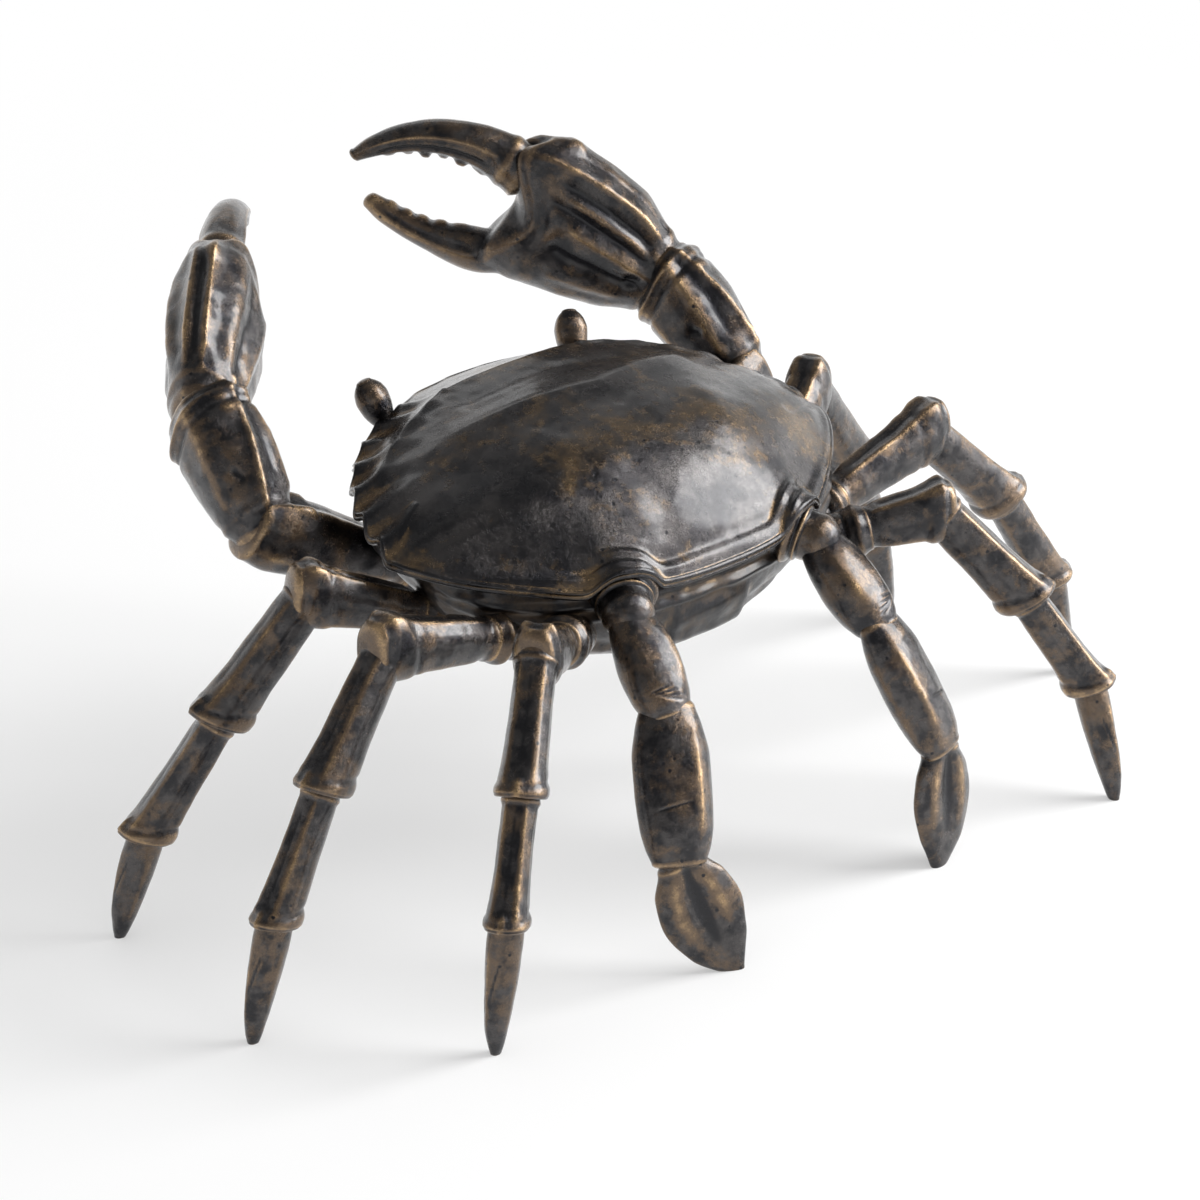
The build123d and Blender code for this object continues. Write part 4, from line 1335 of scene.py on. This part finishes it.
    def build(self, body: Body, shop: Workshop) -> None:
        """Makes and dresses the claw's five castings.

        Args:
            body: the body it leaves.
            shop: what finishes each piece.
        """
        a = self.angles
        shoulder = Axis.aimed(body.spot(self.place_shares), a[0], a[1], self.shoulder_length)
        arm = Axis.aimed(shoulder.end, a[2], a[3], self.arm_length)
        wrist = Axis.aimed(arm.end, a[4], a[5], self.wrist_length)
        palm = Axis.aimed(wrist.end, a[6], a[7], self.palm_length, self.palm_roll)
        finger = palm.branch(self.finger_length, self.finger_rise, 0.0, self.finger_turn, self.lean)
        fixed = palm.branch(self.fixed_length, -self.fixed_drop, self.fixed_root, self.fixed_turn, self.lean)
        shop.cast("claw", Slot.CLAW, self.side, self.seed, {
            "shoulder": (self.shoulder, shoulder),
            "arm": (self.arm, arm),
            "wrist": (self.wrist, wrist),
            "finger": (self.finger, finger),
        })
        fluted = replace(self.palm, reliefs=(*(Ridge(*row) for row in self.flutes), *self.palm.reliefs))
        grids = [fluted.surface(palm, self.seed), self.fixed.surface(fixed, self.seed)]
        crease = palm.end - palm.up * self.crease_drop - palm.direction * self.crease_back
        shop.place(f"{self.side.value}_claw_palm", grids, Slot.CLAW, self.side, self.melt_cell, crease)


@dataclass
class WalkingLeg:
    """A walking leg: a hip stub, a thigh with a hooded knee, a shin and an ankle in bell collars, and a toe. Its
    angles are a heading and a pitch for the hip and thigh, the shin, the ankle and the toe."""

    name: str
    side: Side
    place_shares: tuple
    lengths: tuple
    angles: tuple
    seed: int
    thigh_cuts: tuple = ()
    hip_length: float = 12.0
    # A ringed stub at the body
    hip: Casting = Casting(
        13.0, 13.0, ((0.0, 0.86, 0.86), (0.5, 0.92, 0.92), (0.95, 1.0, 1.0), (1.12, 0.9, 0.9)),
        (Band(0.9, 1.1, 0.5), Band(0.62, 0.8, -0.5), Band(0.35, 1.0, 0.5)), head=8.0, worked=0.35, rows=50,
    )
    # Flat-sided, ridged along its top, ending in a squared hood that overhangs the knee
    thigh: Casting = Casting(
        12.5, 17.0, ((0.0, 0.84, 0.62), (0.12, 0.80, 0.64), (0.35, 0.88, 0.72), (0.7, 0.95, 0.80), (0.92, 1.02, 0.97),
                     (1.02, 1.0, 1.0), (1.1, 0.84, 0.87)),
        (*even_ridges((64, 116), 12, 0.75, 0.1, 1.2), *even_ridges((0, 180), 22, -0.4, 0.2, 0.9),
         *even_ridges((228, 312), 15, 0.5, 0.1, 1.0), Ridge(90, 13, -0.35, 0.2, 0.95), Band(0.06, 1.0, 0.55),
         Mark(1.0, 122, 3.0, 2.4, 0.5), Mark(1.0, 58, 3.0, 2.4, 0.5), Band(0.84, 1.4, -0.3, 1.0)),
        cap=2.8, lean=1.4, square=2.35, worked=0.3, rows=100, seed=1,
    )
    shin: Casting = bell_link(12.5, 14.5, 1.09, 2)
    ankle: Casting = bell_link(10.5, 12.0, 1.12, 3)
    # A tapering spike with a ridge down its back and a groove beside it, ground flat to stand on
    toe: Casting = Casting(
        8.4, 9.6, ((0.0, 0.98, 0.98), (0.12, 0.01, 1.02, 1.02), (0.28, 0.02, 0.98, 0.98), (0.55, 0.04, 0.82, 0.83),
                   (0.8, 0.04, 0.60, 0.62), (0.94, 0.01, 0.42, 0.42), (1.0, -0.01, 0.30, 0.30),
                   (1.06, -0.04, 0.22, 0.22)),
        (Ridge(96, 18, 0.35, 0.1, 0.88, 0, 1.3), *even_ridges((44, 140), 16, -0.16, 0.1, 0.8),
         *even_ridges((190, 350), 18, 0.25, 0.1, 0.85), Mark(0.4, 70, 5.0, 0.25, -0.3, 12),
         Mark(0.55, 120, 4.0, 0.25, -0.3, -8)),
        Ending.TIP, cap=1.0, rows=80, around=60, seed=4, on_floor=True,
    )

    def build(self, body: Body, shop: Workshop) -> None:
        """Makes and dresses the leg's five castings.

        Args:
            body: the body it leaves.
            shop: what finishes each piece.
        """
        a = self.angles
        hip = Axis.aimed(body.spot(self.place_shares), a[0], a[1], self.hip_length)
        thigh = Axis.aimed(hip.end, a[0], a[1], self.lengths[0])
        shin = Axis.aimed(thigh.end, a[2], a[3], self.lengths[1])
        ankle = Axis.aimed(shin.end, a[4], a[5], self.lengths[2])
        cut = replace(self.thigh, reliefs=self.thigh.reliefs + self.thigh_cuts)
        shop.cast(f"{self.name}_leg", Slot.LEG, self.side, self.seed, {
            "hip": (self.hip, hip),
            "thigh": (cut, thigh),
            "shin": (self.shin, shin),
            "ankle": (self.ankle, ankle),
            "toe": (self.toe, Axis.to_floor(ankle.end, a[6], a[7])),
        })


@dataclass
class PaddleLeg:
    """A rear swimming leg: a ringed hip with a knob, an egg-shaped thigh, a boat-shaped shin and a leaf blade. Its
    angles are a heading and a pitch for each of the last three, and the blade's roll."""

    side: Side
    angles: tuple
    seed: int
    roll: float = 10.0
    hip_length: float = 5.5
    thigh_length: float = 27.0
    shin_length: float = 36.4
    # Rings that step down to a round knob, in millimetres (along, across)
    hip_profile: tuple = (
        (-6.5, 18.0), (-4.2, 18.8), (-2.6, 17.4), (-1.0, 18.6), (0.2, 17.2), (0.8, 15.0), (1.9, 15.4), (2.6, 13.4),
        (4.0, 13.2), (6.5, 13.6), (9.0, 11.8), (11.0, 8.2), (12.0, 4.4),
    )
    # A smooth egg with a pointed lower corner
    thigh: Casting = Casting(
        17.5, 14.0, ((0.0, 0.66, 0.64), (0.3, 0.92, 0.9), (0.58, 1.0, 1.0), (0.82, 0.94, 0.90), (0.98, 0.8, 0.75),
                     (1.06, 0.68, 0.62)),
        (Ridge(62, 18, 0.7, 0.1, 0.95, 0, 1.7, 0.3), *even_ridges((0, 180), 16, 0.35, 0.5, 1.1, 0, 1.7, 0.3),
         *(Mark(0.84 + 0.035 * row, 118 - 7 * row, 2.2, 0.32, -0.45, 82 + 9 * row) for row in range(4))),
        square=2.1, worked=0.18, rows=90, around=84, seed=1,
    )
    # A boat with a soft edge down each side, a fold down its face, and a rounded end over the blade
    shin: Casting = Casting(
        20.0, 12.5, ((0.0, 0.76, 0.6), (0.14, 0.91, 0.83), (0.32, 1.0, 0.96), (0.56, 0.99, 1.0), (0.8, 0.94, 0.93),
                     (0.94, 0.86, 0.80), (1.03, 0.74, 0.64)),
        (*even_ridges((0, 180), 16, 0.35, 0.1, 1.0, 0, 1.7, 0.3), Ridge(60, 15, 0.85, 0.02, 0.98, 0, 1.5, 0.3),
         Ridge(120, 22, -0.35, 0.15, 0.9, 0, 1.6, 0.3), Mark(0.66, 104, 3.0, 0.28, -0.5, 74),
         Mark(0.06, 70, 4.0, 4.0, 0.6)),
        cap=2.0, square=2.1, worked=0.2, rows=100, around=84, seed=2,
    )
    # A leaf, thin and bowed, with a deep fold down the middle of both faces between two swollen lobes
    blade: Casting = Casting(
        6.0, 22.0, ((0.0, 1.1, 0.46), (0.1, 1.06, 0.62), (0.24, 1.0, 0.88), (0.46, 0.86, 1.0), (0.75, 0.72, 0.76),
                    (0.94, 0.56, 0.38), (1.02, 0.46, 0.2)),
        (*even_ridges((0, 180), 15, -1.3, -0.2, 0.85, 0, 1.5, 0.5),
         *even_ridges((-30, 30, 150, 210), 15, 0.5, 0.0, 0.8, 0, 2.0, 0.3), Band(0.06, 0.9, 0.4)),
        Ending.TIP, cap=1.0, arch=-1.2, square=2.2, rows=96, around=88, seed=3, on_floor=True,
    )

    def hip(self) -> Casting:
        """Puts the hip together.

        Returns:
            The casting, with its profile as shares of its length.
        """
        stations = tuple((along / self.hip_length, across, across) for along, across in self.hip_profile)
        return Casting(1.0, 1.0, stations, ending=Ending.TIP, head=0.8, cap=0.5, square=2.0, worked=0.22, rows=90,
                       around=84)

    def build(self, body: Body, shop: Workshop) -> None:
        """Makes and dresses the leg's four castings.

        Args:
            body: the body it leaves.
            shop: what finishes each piece.
        """
        a = self.angles
        hip = body.hip_axis(self.hip_length)
        thigh = Axis.aimed(hip.end, a[0], a[1], self.thigh_length, self.roll)
        shin = Axis.aimed(thigh.end, a[2], a[3], self.shin_length, self.roll)
        shop.cast("paddle_leg", Slot.LEG, self.side, self.seed, {
            "hip": (self.hip(), hip),
            "thigh": (self.thigh, thigh),
            "shin": (self.shin, shin),
            "blade": (self.blade, Axis.to_floor(shin.end, a[4], a[5], a[6])),
        })


@dataclass
class Studio:
    """The plain pale floor, the soft lamps and the camera at the photograph's viewing angle."""

    camera_place: tuple = (799.89, 858.34, 625.71)
    camera_right: tuple = (-0.73812, 0.67466, -0.00176)
    camera_up: tuple = (-0.29139, -0.31644, 0.90275)
    camera_forward: tuple = (-0.60849, -0.66685, -0.43016)
    lens: float = 150.0
    sensor: float = 36.0
    clip: tuple = (0.05, 20.0)
    floor_size: float = 6.0
    floor_colour: tuple = (0.88, 0.88, 0.88)
    floor_glow: float = 0.38
    fade_from: float = 0.12
    fade_to: float = 0.65
    surround: float = 0.65
    ceiling: float = 0.22
    ceiling_from: float = 0.12
    ceiling_to: float = 0.42
    # Each lamp's name, place and target in metres, width, height and power
    lamps: tuple = (
        ("key", (-0.99, 0.66, 0.66), (0.0, 0.02, 0.09), 0.74, 0.95, 25.0),
        ("rim", (-0.50, -0.90, 0.80), (0.0, 0.0, 0.09), 0.9, 0.25, 0.8),
    )

    def build(self, shift: Array) -> None:
        """Sets up the camera, the world, the floor and the lamps.

        Args:
            shift: from the building frame to the part's frame, in millimetres.
        """
        self.camera(shift)
        self.world()
        self.floor()
        for lamp in self.lamps:
            self.lamp(*lamp)

    def stand(self, data: bpy.types.ID, place: Array, right: Array, up: Array, back: Array) -> bpy.types.Object:
        """Puts a camera or a lamp in the scene.

        Args:
            data: what it is.
            place: where it stands, in metres.
            right: the direction to its right.
            up: the direction over it.
            back: the direction behind it.

        Returns:
            The object.
        """
        columns = np.eye(4)
        for k, column in enumerate((right, up, back, place)):
            columns[:3, k] = column
        made = bpy.data.objects.new(data.name, data)
        bpy.context.scene.collection.objects.link(made)
        made.matrix_world = Matrix(columns.tolist())
        return made

    def camera(self, shift: Array) -> None:
        """Puts the camera where the photograph was taken from.

        Args:
            shift: from the building frame to the part's frame, in millimetres.
        """
        data = bpy.data.cameras.new("camera")
        data.lens, data.sensor_width = self.lens, self.sensor
        data.clip_start, data.clip_end = self.clip
        place = (np.array(self.camera_place) + shift) * MM
        back = -np.array(self.camera_forward)
        bpy.context.scene.camera = self.stand(data, place, self.camera_right, self.camera_up, back)

    def world(self) -> None:
        """A soft surround. The camera and the gloss see it white at the horizon, under a dim studio ceiling."""
        world = bpy.data.worlds.new("studio")
        bpy.context.scene.world = world
        world.use_nodes = True
        s = Shades(world.node_tree, "Generated")
        up = s.add("ShaderNodeSeparateXYZ", {0: s.place}).outputs["Z"]
        rise = s.span(up, self.ceiling_from, self.ceiling_to, (1.0, self.ceiling))
        soft = s.add("ShaderNodeBackground", {"Color": WHITE, "Strength": self.surround})
        white = s.add("ShaderNodeBackground", {"Color": WHITE, "Strength": rise})
        s.add("ShaderNodeOutputWorld", {"Surface": s.cover(s.seen(), soft, white)})

    def floor(self) -> None:
        """A wide pale sheet under the feet. It glows white where it is looked at, a little near the crab, so that
        the shadows there stay, and wholly further off, so that it runs into the backdrop."""
        half = self.floor_size / 2
        mesh = bpy.data.meshes.new("floor")
        mesh.from_pydata([(-half, -half, 0), (half, -half, 0), (half, half, 0), (-half, half, 0)], [], [(0, 1, 2, 3)])
        floor = bpy.data.objects.new("floor", mesh)
        bpy.context.scene.collection.objects.link(floor)
        material = bpy.data.materials.new("floor")
        material.use_nodes = True
        s = Shades(material.node_tree)
        paper = s.add("ShaderNodeBsdfDiffuse", {"Color": self.floor_colour})
        glow = s.add("ShaderNodeEmission", {"Color": WHITE, "Strength": 1.0})
        away = s.add("ShaderNodeVectorMath", {0: s.place}, operation="LENGTH").outputs["Value"]
        share = s.math("MULTIPLY", s.seen(), s.span(away, self.fade_from, self.fade_to, (self.floor_glow, 1.0)))
        s.add("ShaderNodeOutputMaterial", {"Surface": s.cover(share, paper, glow)})
        mesh.materials.append(material)
        floor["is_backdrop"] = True

    def lamp(self, name: str, place: tuple, target: tuple, wide: float, high: float, power: float) -> None:
        """A square soft lamp.

        Args:
            name: the lamp's name.
            place: where it hangs, in metres.
            target: what it points at, in metres.
            wide: its width in metres.
            high: its height in metres.
            power: its power in watts.
        """
        data = bpy.data.lights.new(name, "AREA")
        data.shape, data.size, data.size_y, data.energy = "RECTANGLE", wide, high, power
        back = unit(np.array(place) - np.array(target))
        right = unit(np.cross((0.0, 0.0, 1.0), back))
        self.stand(data, place, right, np.cross(back, right), back)


def walking_legs() -> Iterable[WalkingLeg]:
    """Lists the six walking legs. Each row has the joint on the body, the lengths, and the headings and pitches on
    the left and on the right.

    Returns:
        The legs, in pairs from the front.
    """
    table = (
        ("front", (0.69, 0.12, 0.54), (32.5, 39.0, 36.5),
         (-20.0, 19.0, -20.0, -50.5, -30.0, -57.5, -20.5, -73.0),
         (-26.5, 24.0, -14.5, -52.5, -25.5, -56.0, -19.0, -70.5)),
        ("middle", (0.65, 0.51, 0.42), (38.0, 38.0, 34.5),
         (5.0, 15.5, 10.0, -48.5, 9.0, -57.5, -3.5, -75.5),
         (-1.0, 14.5, 9.0, -44.5, 8.0, -58.0, 0.5, -75.5)),
        ("rear", (0.57, 0.79, 0.3), (21.0, 35.5, 32.0),
         (31.5, 16.5, 38.5, -47.0, 36.0, -56.5, 5.5, -82.5),
         (33.5, 10.5, 39.5, -47.0, 38.5, -56.0, 86.0, -71.5)),
    )
    crack = (Mark(0.72, 96, 6.0, 0.8, -1.3, 8), Mark(0.9, 88, 2.6, 0.8, -1.1, 70), Mark(0.8, 100, 2.0, 0.9, -1.0, 60))
    gashes = (Mark(0.42, 128, 2.2, 0.6, -0.9, 60), Mark(0.48, 128, 2.0, 0.6, -0.9, 70),
              Mark(0.54, 126, 1.8, 0.6, -0.8, 50), Mark(1.0, 90, 3.4, 3.2, 1.0))
    cuts = {"front": crack, "middle": gashes, "rear": ()}
    for row, (name, place, lengths, left, right) in enumerate(table):
        yield WalkingLeg(name, Side.LEFT, place, lengths, left, 100 + 20 * row, cuts[name])
        yield WalkingLeg(name, Side.RIGHT, place, lengths, right, 200 + 20 * row)


def finishes() -> dict[Slot, bpy.types.Material]:
    """Makes the patina of each material slot.

    Returns:
        The material of each.
    """
    patinas = {
        Slot.SHELL: Patina("shell_bronze", brown=(0.16, 0.108, 0.060), patch_size=24.0, brown_from=0.49,
                           brown_to=0.72, brown_edge=0.2, gold_from=0.8, umber_from=0.34),
        Slot.CLAW: Patina("claw_bronze", patch_size=12.0),
        Slot.LEG: Patina("leg_bronze", patch_size=10.0, brown_from=0.46, brown_to=0.74),
        Slot.EYE: Patina("eye_bronze", patch_size=6.0, gold_from=0.4),
    }
    return {slot: patina.build() for slot, patina in patinas.items()}


def main() -> None:
    """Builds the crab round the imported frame."""
    logging.basicConfig(level=logging.INFO, format="%(message)s")
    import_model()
    frame_low, frame_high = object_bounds()
    bpy.context.scene.view_settings.view_transform = "Standard"
    shift = np.array(FOOTPRINT)
    shop = Workshop(shift, finishes())
    body = Body()
    shop.place("carapace", [body.back()], Slot.SHELL)
    # The belly's darker umber and brown are painted shade for the shadow under the body; its higher roughness is the
    # surface's own
    belly = Patina("belly_bronze_painted_shade", umber=(0.034, 0.032, 0.032), brown=(0.075, 0.055, 0.04), patch_size=12.0,
                   gold_from=0.8, rough_low=0.30, rough_high=0.45).build()
    shop.place("underbody", [body.belly()], Slot.SHELL, finish=belly)
    for side in Side:
        shop.place(f"{side.value}_eye", [body.eye.surface(body.eye_axis())], Slot.EYE, side)
    Claw(Side.LEFT, (-12.5, 24.5, -13.0, 24.5, -94.0, 42.5, -136.5, 17.5), FLUTES[Side.LEFT], 20).build(body, shop)
    Claw(Side.RIGHT, (-8.5, 21.5, -9.0, 21.5, -105.5, 43.0, -135.5, 27.5), FLUTES[Side.RIGHT], 40).build(body, shop)
    for leg in walking_legs():
        leg.build(body, shop)
    PaddleLeg(Side.LEFT, (79.0, -46.5, 57.5, -62.0, 138.5, -65.5, 18.0), 300).build(body, shop)
    PaddleLeg(Side.RIGHT, (75.5, -46.0, 60.5, -61.0, 131.5, -77.5, 44.0), 320).build(body, shop)
    Studio().build(shift)
    low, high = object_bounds()
    rounded = (tuple(round(x, 4) for x in corner) for corner in (frame_low, frame_high, low, high))
    log.info("frame %s to %s, visual %s to %s", *rounded)


if __name__ == "__main__":
    main()
